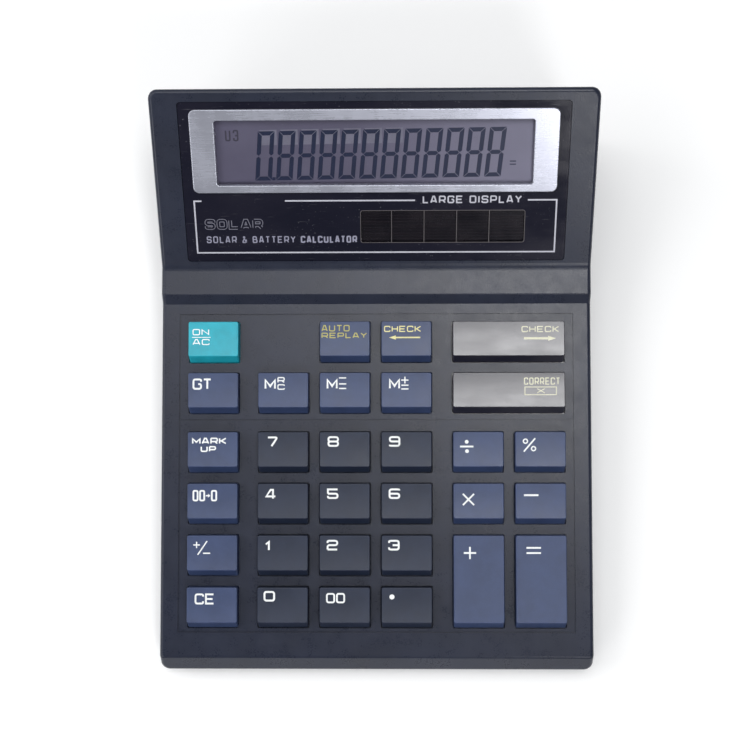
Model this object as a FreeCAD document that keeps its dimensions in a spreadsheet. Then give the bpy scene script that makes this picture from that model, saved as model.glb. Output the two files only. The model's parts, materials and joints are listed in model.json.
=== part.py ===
"""Desk calculator: two moulded shells with a raised head, a keypad of 31 keys on a rubber
dome mat, a circuit board, a glass display behind a bezelled window, a solar cell and one
AA cell behind a sliding door.

Three working frames are used, all with X to the user's right:
  deck    Y runs back along the key deck from its front edge, Z stands on the deck.
  head    Y runs up the display slope from the crease, Z stands on the slope.
  bottom  Y runs back along the flat underside, Z points up into the case.
"""
import FreeCAD, Part
import math
import os
import re
import Sketcher
from FreeCAD import Placement, Rotation, Vector

SIZES = {
    # case, outside
    "case_width": 152.0, "wall": 2.0, "floor_wall": 2.0, "deck_tilt": 3.5,
    "front_height": 13.0, "part_drop": 8.0, "bevel_run": 4.85, "bevel_drop": 5.0,
    "corner_radius": 3.0, "edge_radius": 1.4, "riser_start": 129.0, "riser_run": 3.2,
    "riser_rise": 2.2, "band_length": 9.7, "crease_radius": 5.0, "head_tilt": 30.0,
    "head_slant": 65.0, "rear_lean": 4.0,
    # tongue of the bottom case inside the upper case
    "tongue_wall": 0.9, "tongue_rise": 1.5, "tongue_root": 2.0, "fit_gap": 0.1,
    # groove round the keypad
    "groove_side": 6.3, "groove_front": 13.4, "groove_rear": 125.5, "groove_middle": 87.5,
    "groove_wide": 0.6, "groove_deep": 0.4,
    # keypad
    "key_wide": 17.6, "key_long": 12.15, "key_high": 4.0, "key_slope": 2.0,
    "key_dish": 0.22, "key_corner": 0.7, "key_edge": 0.3, "key_gap": 0.35,
    "column_pitch": 21.65, "left_gap": 24.7, "right_gap": 25.1, "keypad_shift": 0.175,
    "row_pitch": 18.05, "row_gap": 20.8, "first_row": 23.35,
    "key_travel": 2.0, "flange_lip": 0.65, "flange_thick": 1.0, "key_shell": 1.3,
    "key_roof": 1.5, "plunger_radius": 2.5, "rest_gap": 0.1,
    # rubber mat and board
    "mat_thick": 0.8, "mat_inset": 8.5, "dome_foot": 4.0, "dome_top": 2.9,
    "dome_wall": 0.7, "dome_roof": 2.1, "pill_radius": 1.5, "pill_thick": 0.5,
    "board_thick": 1.6, "board_inset": 4.0, "board_rear": 134.0,
    # posts and screws
    "board_post": 2.2, "board_pilot": 0.95, "board_shank": 0.9, "board_head": 1.9,
    "case_post": 3.0, "case_pilot": 1.15, "case_shank": 1.1, "case_head": 2.6,
    "head_thick": 1.1, "sink_deep": 1.2, "case_screw_long": 9.0, "board_screw_long": 5.0,
    "post_side": 10.0, "post_front": 9.5, "post_middle": 126.8, "post_rear": 183.0,
    "front_posts": 9.0, "middle_posts": 86.8, "rear_posts": 127.0,
    # display panel on the head
    "panel_side": 9.6, "panel_low": 2.3, "panel_high": 59.8, "panel_thick": 1.0,
    "panel_sink": 0.2, "panel_corner": 1.2, "panel_gap": 0.15,
    "bezel_half": 62.6, "bezel_low": 27.8, "bezel_high": 57.2, "bezel_corner": 2.2,
    "bezel_proud": 0.9, "bezel_sleeve": 0.9, "view_half": 54.2, "view_low": 30.5,
    "view_high": 53.4, "view_corner": 0.9, "window_thick": 0.75,
    "solar_left": -5.1, "solar_right": 52.0, "solar_low": 9.1, "solar_high": 21.0,
    "solar_corner": 1.0, "cell_thick": 1.1, "cell_border": 0.7,
    # display glass
    "glass_half": 57.0, "glass_low": 27.6, "glass_high": 56.0, "glass_thick": 0.7,
    "film_thick": 0.2, "ledge_low": 24.2, "holder_rim": 1.2, "holder_back": 1.1,
    "ear_half": 67.0, "ear_wide": 6.0, "lcd_screw_half": 64.0, "lcd_screw_low": 31.0,
    "lcd_screw_high": 51.0, "lcd_screw_long": 2.9,
    "ribbon_wide": 56.0, "ribbon_middle": -10.75, "ribbon_thick": 0.15,
    "ribbon_land": 5.5,
    # battery, its compartment and its door, in the bottom frame
    "cell_radius": 7.1, "cell_long": 49.0, "nub_radius": 2.6, "nub_long": 1.5,
    "battery_back": 171.0, "bay_gap": 0.6, "bay_wall": 1.2, "spring_long": 2.8,
    "spring_wire": 0.35,
    "spring_pitch": 0.95, "spring_radius": 4.2, "spring_cone": 28.0, "contact_thick": 0.4, "contact_wide": 9.0, "contact_high": 11.0,
    "door_half": 28.8, "door_front": 158.0, "door_thick": 1.6, "door_gap": 0.2,
    "tongue_out": 1.3, "tongue_low": 0.95, "rail_wide": 3.0, "rail_high": 1.6,
    "grip_half": 8.0, "grip_wide": 0.9, "grip_deep": 0.45, "grip_step": 2.4,
    # feet
    "foot_radius": 4.5, "foot_high": 1.5, "foot_pocket": 0.6, "foot_side": 14.0,
    "foot_front": 22.0, "foot_rear": 170.0,
    # leads
    "lead_radius": 0.55, "lead_bend": 3.0,
}

doc = FreeCAD.newDocument("desk_calculator")
sheet = doc.addObject("Spreadsheet::Sheet", "Sizes")
for row, (alias, number) in enumerate(SIZES.items(), start=1):
    sheet.set(f"A{row}", alias)
    sheet.set(f"B{row}", str(number))
    sheet.setAlias(f"B{row}", alias)
doc.recompute()

ALIAS = re.compile(r"\b(" + "|".join(SIZES) + r")\b")


def tie(formula):
    """Write a formula of size names as an expression on the sheet."""
    return ALIAS.sub(r"Sizes.\1", str(formula))


def size(formula):
    """The present value of a formula of size names."""
    return float(sheet.evalExpression(tie(formula)))


# ---------------------------------------------------------------- derived formulas
# Points of the case's side profile, in the deck frame.
FLOOR = "(-front_height/cos(deck_tilt))"
CREASE = "(riser_start + riser_run + band_length)"
HEAD_Y = f"({CREASE} + head_slant*cos(head_tilt))"
HEAD_Z = "(riser_rise + head_slant*sin(head_tilt))"
PART_REAR = f"({HEAD_Y} - ({HEAD_Z} + part_drop)*tan(rear_lean))"
BASE_REAR = (f"(({HEAD_Y} + ({FLOOR} - {HEAD_Z})*tan(rear_lean))"
             "/(1 + tan(deck_tilt)*tan(rear_lean)))")
HALF = "case_width/2"

# Heights of the key stack below the deck, in the deck frame.
FLANGE_TOP = "(-wall - rest_gap)"
FLANGE_LOW = f"({FLANGE_TOP} - flange_thick)"
DOME_TOP = f"({FLANGE_LOW} - rest_gap)"
BOARD_TOP = f"({DOME_TOP} - dome_roof - key_travel - pill_thick - rest_gap)"
MAT_TOP = f"({BOARD_TOP} + mat_thick)"
BOARD_LOW = f"({BOARD_TOP} - board_thick)"

# Heights of the display stack, in the head frame.
RECESS = "(-panel_sink - panel_thick)"
FILM_TOP = "(-wall - fit_gap)"
FRONT_GLASS = f"({FILM_TOP} - film_thick)"
REAR_GLASS = f"({FRONT_GLASS} - glass_thick)"
BACK_FILM = f"({REAR_GLASS} - glass_thick)"
HOLDER_SEAT = f"({BACK_FILM} - film_thick - fit_gap)"
HOLDER_LOW = f"({HOLDER_SEAT} - holder_back)"

COLUMNS = {1: f"(keypad_shift - (left_gap + 3*column_pitch + right_gap)/2)"}
for column, step in ((2, "left_gap"), (3, "column_pitch"), (4, "column_pitch"),
                     (5, "right_gap"), (6, "column_pitch")):
    COLUMNS[column] = f"({COLUMNS[column - 1]} + {step})"
ROWS = {6: "first_row"}
for line, step in ((5, "row_pitch"), (4, "row_pitch"), (3, "row_pitch"),
                   (2, "row_gap"), (1, "row_pitch")):
    ROWS[line] = f"({ROWS[line + 1]} + {step})"

# Each key: name, first column, last column, first row, last row.
KEYS = [
    ("on_ac", 1, 1, 1, 1), ("auto_replay", 3, 3, 1, 1), ("check_back", 4, 4, 1, 1),
    ("check_forward", 5, 6, 1, 1),
    ("grand_total", 1, 1, 2, 2), ("memory_recall", 2, 2, 2, 2),
    ("memory_minus", 3, 3, 2, 2), ("memory_plus", 4, 4, 2, 2), ("correct", 5, 6, 2, 2),
    ("mark_up", 1, 1, 3, 3), ("seven", 2, 2, 3, 3), ("eight", 3, 3, 3, 3),
    ("nine", 4, 4, 3, 3), ("divide", 5, 5, 3, 3), ("percent", 6, 6, 3, 3),
    ("shift_digit", 1, 1, 4, 4), ("four", 2, 2, 4, 4), ("five", 3, 3, 4, 4),
    ("six", 4, 4, 4, 4), ("multiply", 5, 5, 4, 4), ("minus", 6, 6, 4, 4),
    ("sign", 1, 1, 5, 5), ("one", 2, 2, 5, 5), ("two", 3, 3, 5, 5), ("three", 4, 4, 5, 5),
    ("plus", 5, 5, 5, 6), ("equals", 6, 6, 5, 6),
    ("clear_entry", 1, 1, 6, 6), ("zero", 2, 2, 6, 6), ("double_zero", 3, 3, 6, 6),
    ("point", 4, 4, 6, 6),
]


# ---------------------------------------------------------------- building helpers
def add(kind, name):
    return doc.addObject(kind, name)


def new_body(name, frame):
    body = add("PartDesign::Body", name)
    body.Placement = frame
    return body


def new_sketch(body, role="XY_Plane", height="0", tilt="0", back="0"):
    """A sketch on one of the body's origin planes, moved back and up, then tilted about X."""
    sketch = body.newObject("Sketcher::SketchObject", "sketch")
    support = [item for item in body.Origin.OriginFeatures if item.Role == role][0]
    sketch.AttachmentSupport = [(support, "")]
    sketch.MapMode = "FlatFace"
    turn = Rotation(Vector(1, 0, 0), size(tilt))
    sketch.AttachmentOffset = Placement(Vector(0, size(back), size(height)), turn)
    sketch.setExpression("AttachmentOffset.Base.y", tie(back))
    sketch.setExpression("AttachmentOffset.Base.z", tie(height))
    return sketch


def hold(sketch, sized, joined=()):
    """Add constraints: sized ones are (constraint kind, its arguments, formula)."""
    rules = [Sketcher.Constraint("Coincident", *ends) for ends in joined]
    rules += [Sketcher.Constraint(kind, *ends, size(formula))
              for kind, ends, formula in sized]
    first = sketch.ConstraintCount + len(joined)
    sketch.addConstraint(rules)
    for index, (_, _, formula) in enumerate(sized, start=first):
        sketch.setExpression(f"Constraints[{index}]", tie(formula))


def pinned(shape, end, spot):
    """The two sized constraints that hold one end of a sketch edge at a formula point."""
    return [("DistanceX", (-1, 1, shape, end), spot[0]),
            ("DistanceY", (-1, 1, shape, end), spot[1])]


def polygon(sketch, spots):
    """A closed outline of straight runs through formula points."""
    first = sketch.GeometryCount
    ends = [Vector(size(x), size(y), 0) for x, y in spots]
    sketch.addGeometry([Part.LineSegment(start, ends[(index + 1) % len(ends)])
                        for index, start in enumerate(ends)])
    sized, joined = [], []
    for index, spot in enumerate(spots):
        joined.append((first + index, 2, first + (index + 1) % len(spots), 1))
        sized += pinned(first + index, 1, spot)
    hold(sketch, sized, joined)


def dished_outline(sketch, spots, radius):
    """A closed outline whose third run from the end is an arc that sags below it."""
    ends = [Vector(size(x), size(y), 0) for x, y in spots]
    right = len(spots) - 3
    for index, start in enumerate(ends):
        finish = ends[(index + 1) % len(ends)]
        if index == right:
            middle = (start + finish) * 0.5
            span = (start - finish).Length / 2
            bend = size(radius)
            centre = middle + Vector(0, math.sqrt(bend ** 2 - span ** 2), 0)
            half_turn = math.asin(span / bend)
            down = 1.5 * math.pi
            sketch.addGeometry(Part.ArcOfCircle(
                Part.Circle(centre, Vector(0, 0, 1), bend), down - half_turn,
                down + half_turn))
        else:
            sketch.addGeometry(Part.LineSegment(start, finish))
    sized, joined = [], []
    for index, spot in enumerate(spots):
        follow = (index + 1) % len(spots)
        joined.append((index, 1 if index == right else 2, follow, 2 if follow == right else 1))
        sized += pinned(index, 2 if index == right else 1, spot)
    hold(sketch, sized + [("Radius", (right,), radius)], joined)


def rectangle(sketch, x_low, x_high, y_low, y_high):
    polygon(sketch, [(x_low, y_low), (x_high, y_low), (x_high, y_high), (x_low, y_high)])


def circle(sketch, x, y, radius):
    shape = sketch.addGeometry(Part.Circle(Vector(size(x), size(y), 0), Vector(0, 0, 1),
                                           size(radius)))
    hold(sketch, pinned(shape, 3, (x, y)) + [("Radius", (shape,), radius)])


def pad(body, sketch, length, both=False, kind="Pad"):
    """Pad a sketch along its normal, or to both sides; kind Pocket cuts the same way."""
    feature = body.newObject(f"PartDesign::{kind}", kind.lower())
    feature.Profile = sketch
    feature.setExpression("Length", tie(length))
    if both:
        feature.SideType = "Symmetric"
    elif kind == "Pocket":
        feature.Reversed = True
    sketch.recompute()
    feature.recompute()
    return feature


def fillet(body, base, edges, radius):
    feature = body.newObject("PartDesign::Fillet", "fillet")
    feature.Base = (base, [f"Edge{index + 1}" for index in edges])
    feature.setExpression("Radius", tie(radius))
    feature.recompute()
    return feature


def edges_where(feature, test):
    """Indices of the edges whose middle point and direction pass a test."""
    found = []
    for index, edge in enumerate(feature.Shape.Edges):
        middle = edge.valueAt((edge.FirstParameter + edge.LastParameter) / 2)
        run = edge.Vertexes[-1].Point - edge.Vertexes[0].Point
        if run.Length > 1e-6 and test(middle, run.normalize()):
            found.append(index)
    return found


def upright(middle, run):
    return abs(run.z) > 0.9


def plate(name, frame, x_low, x_high, y_low, y_high, z_low, thick, radius=None):
    """A flat plate with square or rounded corners."""
    body = new_body(name, frame)
    sketch = new_sketch(body, height=z_low)
    rectangle(sketch, x_low, x_high, y_low, y_high)
    last = pad(body, sketch, thick)
    if radius:
        last = fillet(body, last, edges_where(last, upright), radius)
    return body


def cut_plate(body, x_low, x_high, y_low, y_high, z_low, thick, radius=None):
    """Cut a rectangular pocket upwards from z_low, with rounded corners if asked."""
    sketch = new_sketch(body, height=z_low)
    rectangle(sketch, x_low, x_high, y_low, y_high)
    cut = pad(body, sketch, thick, kind="Pocket")
    if radius:
        low, high = sorted((size(x_low), size(x_high)))
        front, rear = sorted((size(y_low), size(y_high)))

        def corner(middle, run):
            return (abs(run.z) > 0.9 and low - 0.01 < middle.x < high + 0.01
                    and front - 0.01 < middle.y < rear + 0.01)
        cut = fillet(body, cut, edges_where(cut, corner), radius)
    return cut


def drill(body, spots, radius, z_low, depth):
    """Cut round holes upwards from z_low."""
    sketch = new_sketch(body, height=z_low)
    for x, y in spots:
        circle(sketch, x, y, radius)
    return pad(body, sketch, depth, kind="Pocket")


def cylinder(name, frame, x, y, z, radius, height):
    """A round bar standing on (x, y, z) of a frame."""
    bar = add("Part::Cylinder", name)
    bar.setExpression("Radius", tie(radius))
    bar.setExpression("Height", tie(height))
    bar.Placement = frame * Placement(Vector(size(x), size(y), size(z)), Rotation())
    return bar


def cone(name, frame, x, y, z, low_radius, high_radius, height):
    solid = add("Part::Cone", name)
    solid.setExpression("Radius1", tie(low_radius))
    solid.setExpression("Radius2", tie(high_radius))
    solid.setExpression("Height", tie(height))
    solid.Placement = frame * Placement(Vector(size(x), size(y), size(z)), Rotation())
    return solid


def group(name, members):
    """Several separate solids kept as one object."""
    compound = add("Part::Compound", name)
    compound.Links = members
    compound.recompute(True)
    return compound


def join(name, members):
    fused = add("Part::MultiFuse", name)
    fused.Shapes = members
    fused.recompute(True)
    return fused


def cut(name, base, tool):
    result = add("Part::Cut", name)
    result.Base = base
    result.Tool = tool
    result.recompute(True)
    return result


def common(name, first, second):
    result = add("Part::Common", name)
    result.Base = first
    result.Tool = second
    result.recompute(True)
    return result


NODES = {}


def node(name, thing):
    thing.Label = name
    NODES[name] = thing
    return thing


# ---------------------------------------------------------------- case profile solids
def outer_solid(name, frame, spots, low_edges):
    """The case's outer block over a side profile, with rounded corners and edges.

    low_edges picks the long rim that is rounded: the top of the upper case or the
    underside of the bottom case.
    """
    body = new_body(name, frame)
    sketch = new_sketch(body, role="YZ_Plane")
    polygon(sketch, spots)
    block = pad(body, sketch, "case_width", both=True)
    corners = new_sketch(body, height=f"{FLOOR} - 40")
    for side in (-1, 1):
        edge = f"{side}*{HALF}"
        inner = f"{side}*({HALF} - corner_radius)"
        first = corners.GeometryCount
        centre = Vector(size(inner), size("corner_radius"), 0)
        radius = size("corner_radius")
        start, end = ((math.pi, 1.5 * math.pi) if side < 0 else (1.5 * math.pi, 2 * math.pi))
        arc = Part.ArcOfCircle(Part.Circle(centre, Vector(0, 0, 1), radius), start, end)
        low, high = (2, 1) if side < 0 else (1, 2)
        foot = Vector(size(inner), 0, 0)
        shoulder = Vector(size(edge), size("corner_radius"), 0)
        square = Vector(size(edge), 0, 0)
        corners.addGeometry(arc)
        corners.addGeometry(Part.LineSegment(foot, square))
        corners.addGeometry(Part.LineSegment(square, shoulder))
        hold(corners, pinned(first + 1, 1, (inner, "0")) + pinned(first + 2, 1, (edge, "0"))
             + pinned(first + 2, 2, (edge, "corner_radius"))
             + [("Radius", (first,), "corner_radius")],
             [(first, low, first + 1, 1), (first + 1, 2, first + 2, 1),
              (first + 2, 2, first, high)])
    shaped = pad(body, corners, "120", kind="Pocket")
    rear = size(HEAD_Y) - 20

    def back_corner(middle, run):
        return (abs(run.z) > 0.9 and middle.y > rear
                and abs(abs(middle.x) - size(HALF)) < 0.01)
    shaped = fillet(body, shaped, edges_where(shaped, back_corner), "corner_radius")
    return body, fillet(body, shaped, edges_where(shaped, low_edges), "edge_radius")


def upper_rim(middle, run):
    """The rim all round the top of the upper case, without its cross edges."""
    drop = size("part_drop")
    cross = abs(run.x) > 0.99 and 1 < middle.y < size(HEAD_Y) - 1
    return abs(run.z) < 0.9 and middle.z > 0.01 - drop and not cross


def lower_rim(middle, run):
    return abs(run.z) < 0.9 and middle.z < -size("part_drop") - 0.01


UPPER_PROFILE = [
    ("0", "-part_drop"), ("0", "-bevel_drop"), ("bevel_run", "0"), ("riser_start", "0"),
    ("riser_start + riser_run", "riser_rise"), (CREASE, "riser_rise"), (HEAD_Y, HEAD_Z),
    (PART_REAR, "-part_drop")]
LOWER_PROFILE = [
    ("0", FLOOR), ("0", "-part_drop"), (PART_REAR, "-part_drop"),
    (BASE_REAR, f"{FLOOR} - {BASE_REAR}*tan(deck_tilt)")]


def find_shift():
    """How far back the deck frame's start stands from the middle of the footprint."""
    trial, _ = outer_solid("trial_upper", Placement(), UPPER_PROFILE, upper_rim)
    trial.recompute()
    turned = trial.Shape.copy()
    turned.Placement = Placement(Vector(), Rotation(Vector(1, 0, 0), size("deck_tilt")))
    box = turned.optimalBoundingBox(False, False)
    doc.removeObject(trial.Name)
    return -(box.YMin + box.YMax) / 2


LIFT = size("front_height + foot_high")
DECK = Placement(Vector(0, find_shift(), LIFT), Rotation(Vector(1, 0, 0), size("deck_tilt")))
HEAD = DECK * Placement(Vector(0, size(CREASE), size("riser_rise")),
                        Rotation(Vector(1, 0, 0), size("head_tilt")))
BOTTOM = DECK * Placement(Vector(0, 0, size(FLOOR)),
                          Rotation(Vector(1, 0, 0), -size("deck_tilt")))


# ---------------------------------------------------------------- upper and bottom case
def cavity_spots():
    """The room inside both shells: the side profile moved in by the wall and the floor."""
    slope = "sqrt(bevel_run^2 + bevel_drop^2)"
    rise = "sqrt(riser_run^2 + riser_rise^2)"
    riser_shift = f"wall*({rise} - riser_run)/riser_rise"
    floor = f"({FLOOR} + floor_wall/cos(deck_tilt))"
    top_drop = ("wall*(sin(head_tilt) + cos(rear_lean))/cos(rear_lean + head_tilt)")
    top_back = f"(wall - cos(head_tilt)*{top_drop})/sin(head_tilt)"
    rear_foot = (f"(({HEAD_Y} - wall/cos(rear_lean) + ({floor} - {HEAD_Z})*tan(rear_lean))"
                 "/(1 + tan(deck_tilt)*tan(rear_lean)))")
    return [
        ("wall", f"{floor} - wall*tan(deck_tilt)"),
        ("wall", f"-bevel_drop + wall*(bevel_drop - {slope})/bevel_run"),
        (f"bevel_run + wall*({slope} - bevel_run)/bevel_drop", "-wall"),
        (f"riser_start + {riser_shift}", "-wall"),
        (f"riser_start + riser_run + {riser_shift}", "riser_rise - wall"),
        (f"{CREASE} + wall*tan(head_tilt/2)", "riser_rise - wall"),
        (f"{HEAD_Y} + {top_back}", f"{HEAD_Z} - {top_drop}"),
        (rear_foot, f"{floor} - {rear_foot}*tan(deck_tilt)")]


def cavity():
    body = new_body("cavity", DECK)
    sketch = new_sketch(body, role="YZ_Plane")
    polygon(sketch, cavity_spots())
    pad(body, sketch, "case_width - 2*wall", both=True)
    return body


CASE_POSTS = [(f"{side}*({HALF} - post_side)", back)
              for back in ("post_front", "post_middle", "post_rear") for side in (-1, 1)]
POST_LEFT = f"(({COLUMNS[1]} + {COLUMNS[2]})/2)"
POST_RIGHT = f"(({COLUMNS[4]} + {COLUMNS[5]})/2)"
EDGE_POST = f"({HALF} - board_inset - board_post)"
BOARD_POSTS = [(x, y) for y in ("front_posts", "middle_posts", "rear_posts")
               for x in (POST_LEFT, POST_RIGHT)]
BOARD_POSTS += [(f"-{EDGE_POST}", "middle_posts"), (EDGE_POST, "middle_posts")]
LCD_POSTS = [(f"{side}*lcd_screw_half", v) for v in ("lcd_screw_low", "lcd_screw_high")
             for side in (-1, 1)]


def key_box(first, last, top, low):
    """Centre and half sizes of a key's flat top, as formulas."""
    x = f"(({COLUMNS[first]} + {COLUMNS[last]})/2)"
    y = f"(({ROWS[top]} + {ROWS[low]})/2)"
    wide = f"(key_wide/2 + ({COLUMNS[last]} - {COLUMNS[first]})/2)"
    long = f"(key_long/2 + ({ROWS[top]} - {ROWS[low]})/2)"
    return x, y, wide, long


def key_openings():
    """One rounded hole in the deck for each key."""
    holes = []
    for name, *cells in KEYS:
        x, y, wide, long = key_box(*cells)
        holes.append(plate(f"opening_{name}", DECK, f"{x} - {wide} - key_gap",
                           f"{x} + {wide} + key_gap",
                           f"{y} - {long} - key_slope - key_gap",
                           f"{y} + {long} + key_gap", "-wall - 1", "wall + 2",
                           "key_corner"))
    return holes


def keypad_groove():
    """A shallow line round the keypad and one across it between the key groups."""
    outer = (f"-{HALF} + groove_side", f"{HALF} - groove_side", "groove_front",
             "groove_rear")
    side = f"({HALF} - groove_side - groove_wide)"
    body = new_body("keypad_groove", DECK)
    sketch = new_sketch(body, height="-groove_deep")
    rectangle(sketch, *outer)
    rectangle(sketch, f"-{side}", side, "groove_front + groove_wide", "groove_middle")
    rectangle(sketch, f"-{side}", side, "groove_middle + groove_wide",
              "groove_rear - groove_wide")
    pad(body, sketch, "groove_deep + 1")
    return body


def head_recess():
    """The seat of the display panel and the two openings under it."""
    body = plate("head_recess", HEAD, f"-{HALF} + panel_side", f"{HALF} - panel_side",
                 "panel_low", "panel_high", RECESS, "panel_sink + panel_thick + 1",
                 "panel_corner")
    lcd = plate("lcd_opening", HEAD, "-view_half - bezel_sleeve", "view_half + bezel_sleeve",
                "view_low - bezel_sleeve", "view_high + bezel_sleeve", "-wall - 1",
                "wall + 1", "view_corner")
    border = "(cell_border + fit_gap)"
    solar = plate("solar_opening", HEAD, f"solar_left - {border}", f"solar_right + {border}",
                  f"solar_low - {border}", f"solar_high + {border}", "-wall - 1",
                  "wall + 1", "solar_corner")
    return [body, lcd, solar]


def pilots(name, frame, spots, z_low, radius, height):
    return [cylinder(f"{name}_{count}", frame, x, y, z_low, radius, height)
            for count, (x, y) in enumerate(spots, start=1)]


def upper_case(room):
    outer, rim = outer_solid("outer_upper", DECK, UPPER_PROFILE, upper_rim)

    def cross_edge(back):
        def test(middle, run):
            return abs(run.x) > 0.99 and abs(middle.y - size(back)) < 0.05
        return test
    soft = fillet(outer, rim, edges_where(rim, cross_edge(CREASE)), "crease_radius")
    soft = fillet(outer, soft, edges_where(soft, cross_edge("bevel_run")), "edge_radius")
    soft = fillet(outer, soft, edges_where(soft, cross_edge("riser_start + riser_run")),
                  "edge_radius/2")
    shell = cut("upper_shell", outer, room)
    tall = pilots("case_post", BOTTOM, CASE_POSTS, "floor_wall", "case_post", "80")
    short = pilots("board_post", DECK, BOARD_POSTS, BOARD_TOP, "board_post",
                   f"-wall/2 - {BOARD_TOP}")
    small = pilots("lcd_post", HEAD, LCD_POSTS, HOLDER_SEAT, "board_post",
                   f"-wall/2 - {HOLDER_SEAT} - 0.3")
    posts = common("posts", group("post_bars", tall + short + small), room)
    whole = join("upper_whole", [shell, posts])
    holes = pilots("case_pilot", BOTTOM, CASE_POSTS, "floor_wall - 1", "case_pilot",
                   "case_screw_long")
    holes += pilots("board_pilot", DECK, BOARD_POSTS, f"{BOARD_TOP} - 1", "board_pilot",
                    "board_screw_long - board_thick + 1.3")
    holes += pilots("lcd_pilot", HEAD, LCD_POSTS, f"{HOLDER_SEAT} - 1", "board_pilot",
                    "lcd_screw_long - holder_back + 1.1")
    cutters = key_openings() + [keypad_groove()] + head_recess() + holes
    return node("upper_case", cut("upper_cut", whole, group("upper_cutters", cutters)))


def bay_spots():
    """The battery bay inside: left, right, front and rear, in the bottom frame."""
    left = "(-cell_long/2 - spring_long - contact_thick)"
    right = "(cell_long/2 + nub_long + contact_thick)"
    front = "(battery_back - cell_radius - bay_gap)"
    rear = "(battery_back + cell_radius + bay_gap)"
    return left, right, front, rear


BAY_TOP = "(floor_wall + 2*cell_radius + 2*bay_gap)"


def bottom_case(room):
    outer, _ = outer_solid("outer_lower", DECK, LOWER_PROFILE, lower_rim)
    shell = cut("lower_shell", outer, room)
    inset = "(wall + fit_gap)"
    root = "(wall - 0.5)"
    inner = "(wall + fit_gap + tongue_wall)"
    rear = f"({PART_REAR} - wall/cos(rear_lean))"
    tongue = plate("tongue", DECK, f"-{HALF} + {root}", f"{HALF} - {root}", root,
                   f"{rear} + 0.3", "-part_drop - tongue_root", "tongue_root")
    upper = new_sketch(tongue, height="-part_drop")
    rectangle(upper, f"-{HALF} + {inset}", f"{HALF} - {inset}", inset, f"{rear} - fit_gap")
    pad(tongue, upper, "tongue_rise")
    cut_plate(tongue, f"-{HALF} + {inner}", f"{HALF} - {inner}", inner,
              f"{rear} - fit_gap - tongue_wall", "-part_drop - tongue_root - 1",
              "tongue_root + tongue_rise + 2")
    left, right, front, back = bay_spots()
    bay = plate("battery_bay", BOTTOM, f"{left} - bay_wall", f"{right} + bay_wall",
                f"{front} - bay_wall", f"{back} + bay_wall", "floor_wall/2",
                f"{BAY_TOP} + bay_wall - floor_wall/2")
    cut_plate(bay, left, right, front, back, "0", BAY_TOP)
    rails = []
    for side, name in ((-1, "left_rail"), (1, "right_rail")):
        rails.append(plate(name, BOTTOM, f"{side}*(door_half - 0.5)",
                           f"{side}*(door_half + rail_wide)", "door_front",
                           f"{back} + bay_wall", "floor_wall/2",
                           "floor_wall/2 + rail_high"))
    whole = join("lower_whole", [shell, tongue, bay] + rails)
    past = f"{BASE_REAR} + 10"
    mouth = plate("door_mouth", BOTTOM, "-door_half - door_gap", "door_half + door_gap",
                  "door_front - door_gap", past, "-1", "door_thick + door_gap + 1")
    slot = plate("door_slot", BOTTOM, "-door_half - tongue_out - door_gap",
                 "door_half + tongue_out + door_gap", "door_front - door_gap", past,
                 "tongue_low - door_gap", "door_thick - tongue_low + 2*door_gap")
    hatch = plate("battery_hatch", BOTTOM, left, right, front, back, "0", "2*floor_wall")
    holes = pilots("screw_way", BOTTOM, CASE_POSTS, "-1", "case_shank + fit_gap",
                   "floor_wall + 2")
    holes += pilots("screw_sink", BOTTOM, CASE_POSTS, "-1", "case_head + 2*fit_gap",
                    "1 + sink_deep")
    holes += pilots("foot_seat", BOTTOM, FEET, "-1", "foot_radius + fit_gap",
                    "1 + foot_pocket")
    cutters = group("lower_cutters", [mouth, slot, hatch] + holes)
    return node("bottom_case", cut("lower_cut", whole, cutters))


FEET = [(f"{side}*({HALF} - foot_side)", back) for back in ("foot_front", "foot_rear")
        for side in (-1, 1)]


# ---------------------------------------------------------------- keys, mat and board
def key_cap(name, first, last, top, low):
    """A hollow cap with a sloping front, a dished top, a retaining flange and a plunger."""
    x, y, wide, long = key_box(first, last, top, low)
    body = new_body(name, DECK)
    profile = new_sketch(body, role="YZ_Plane")
    front, rear = f"{y} - {long}", f"{y} + {long}"
    dished_outline(profile, [
        (f"{front} - key_slope", FLANGE_TOP), (rear, FLANGE_TOP), (rear, "key_high"),
        (front, "key_high"), (f"{front} - key_slope", "0")],
        f"({long}^2 + key_dish^2)/(2*key_dish)")
    profile.setExpression("AttachmentOffset.Base.z", tie(x))
    block = pad(body, profile, f"2*{wide}", both=True)
    half = size(wide) - 0.01
    middle_x = size(x)

    def standing(middle, run):
        at_rear = abs(middle.y - size(rear)) < 0.01
        at_front = middle.y < size(front) - 0.01
        return abs(run.x) < 0.01 and abs(run.z) > 0.5 and (at_rear or at_front) \
            and abs(middle.x - middle_x) > half
    block = fillet(body, block, edges_where(block, standing), "key_corner")

    def top_rim(middle, run):
        return middle.z > size("key_high - key_dish") - 0.05
    block = fillet(body, block, edges_where(block, top_rim), "key_edge")
    flange = new_sketch(body, height=FLANGE_LOW)
    rectangle(flange, f"{x} - {wide} - key_gap - flange_lip",
              f"{x} + {wide} + key_gap + flange_lip",
              f"{front} - key_slope - key_gap - flange_lip",
              f"{rear} + key_gap + flange_lip")
    pad(body, flange, "flange_thick")
    cut_plate(body, f"{x} - {wide} + key_shell", f"{x} + {wide} - key_shell",
              f"{front} - key_slope/2 + key_shell", f"{rear} - key_shell",
              FLANGE_LOW, f"key_high - key_roof - {FLANGE_LOW}")
    plunger = new_sketch(body, height=FLANGE_LOW)
    circle(plunger, x, f"{y} - key_slope/2", "plunger_radius")
    pad(body, plunger, f"key_high - key_roof - {FLANGE_LOW}")
    return node(f"key_{name}", body)


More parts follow.
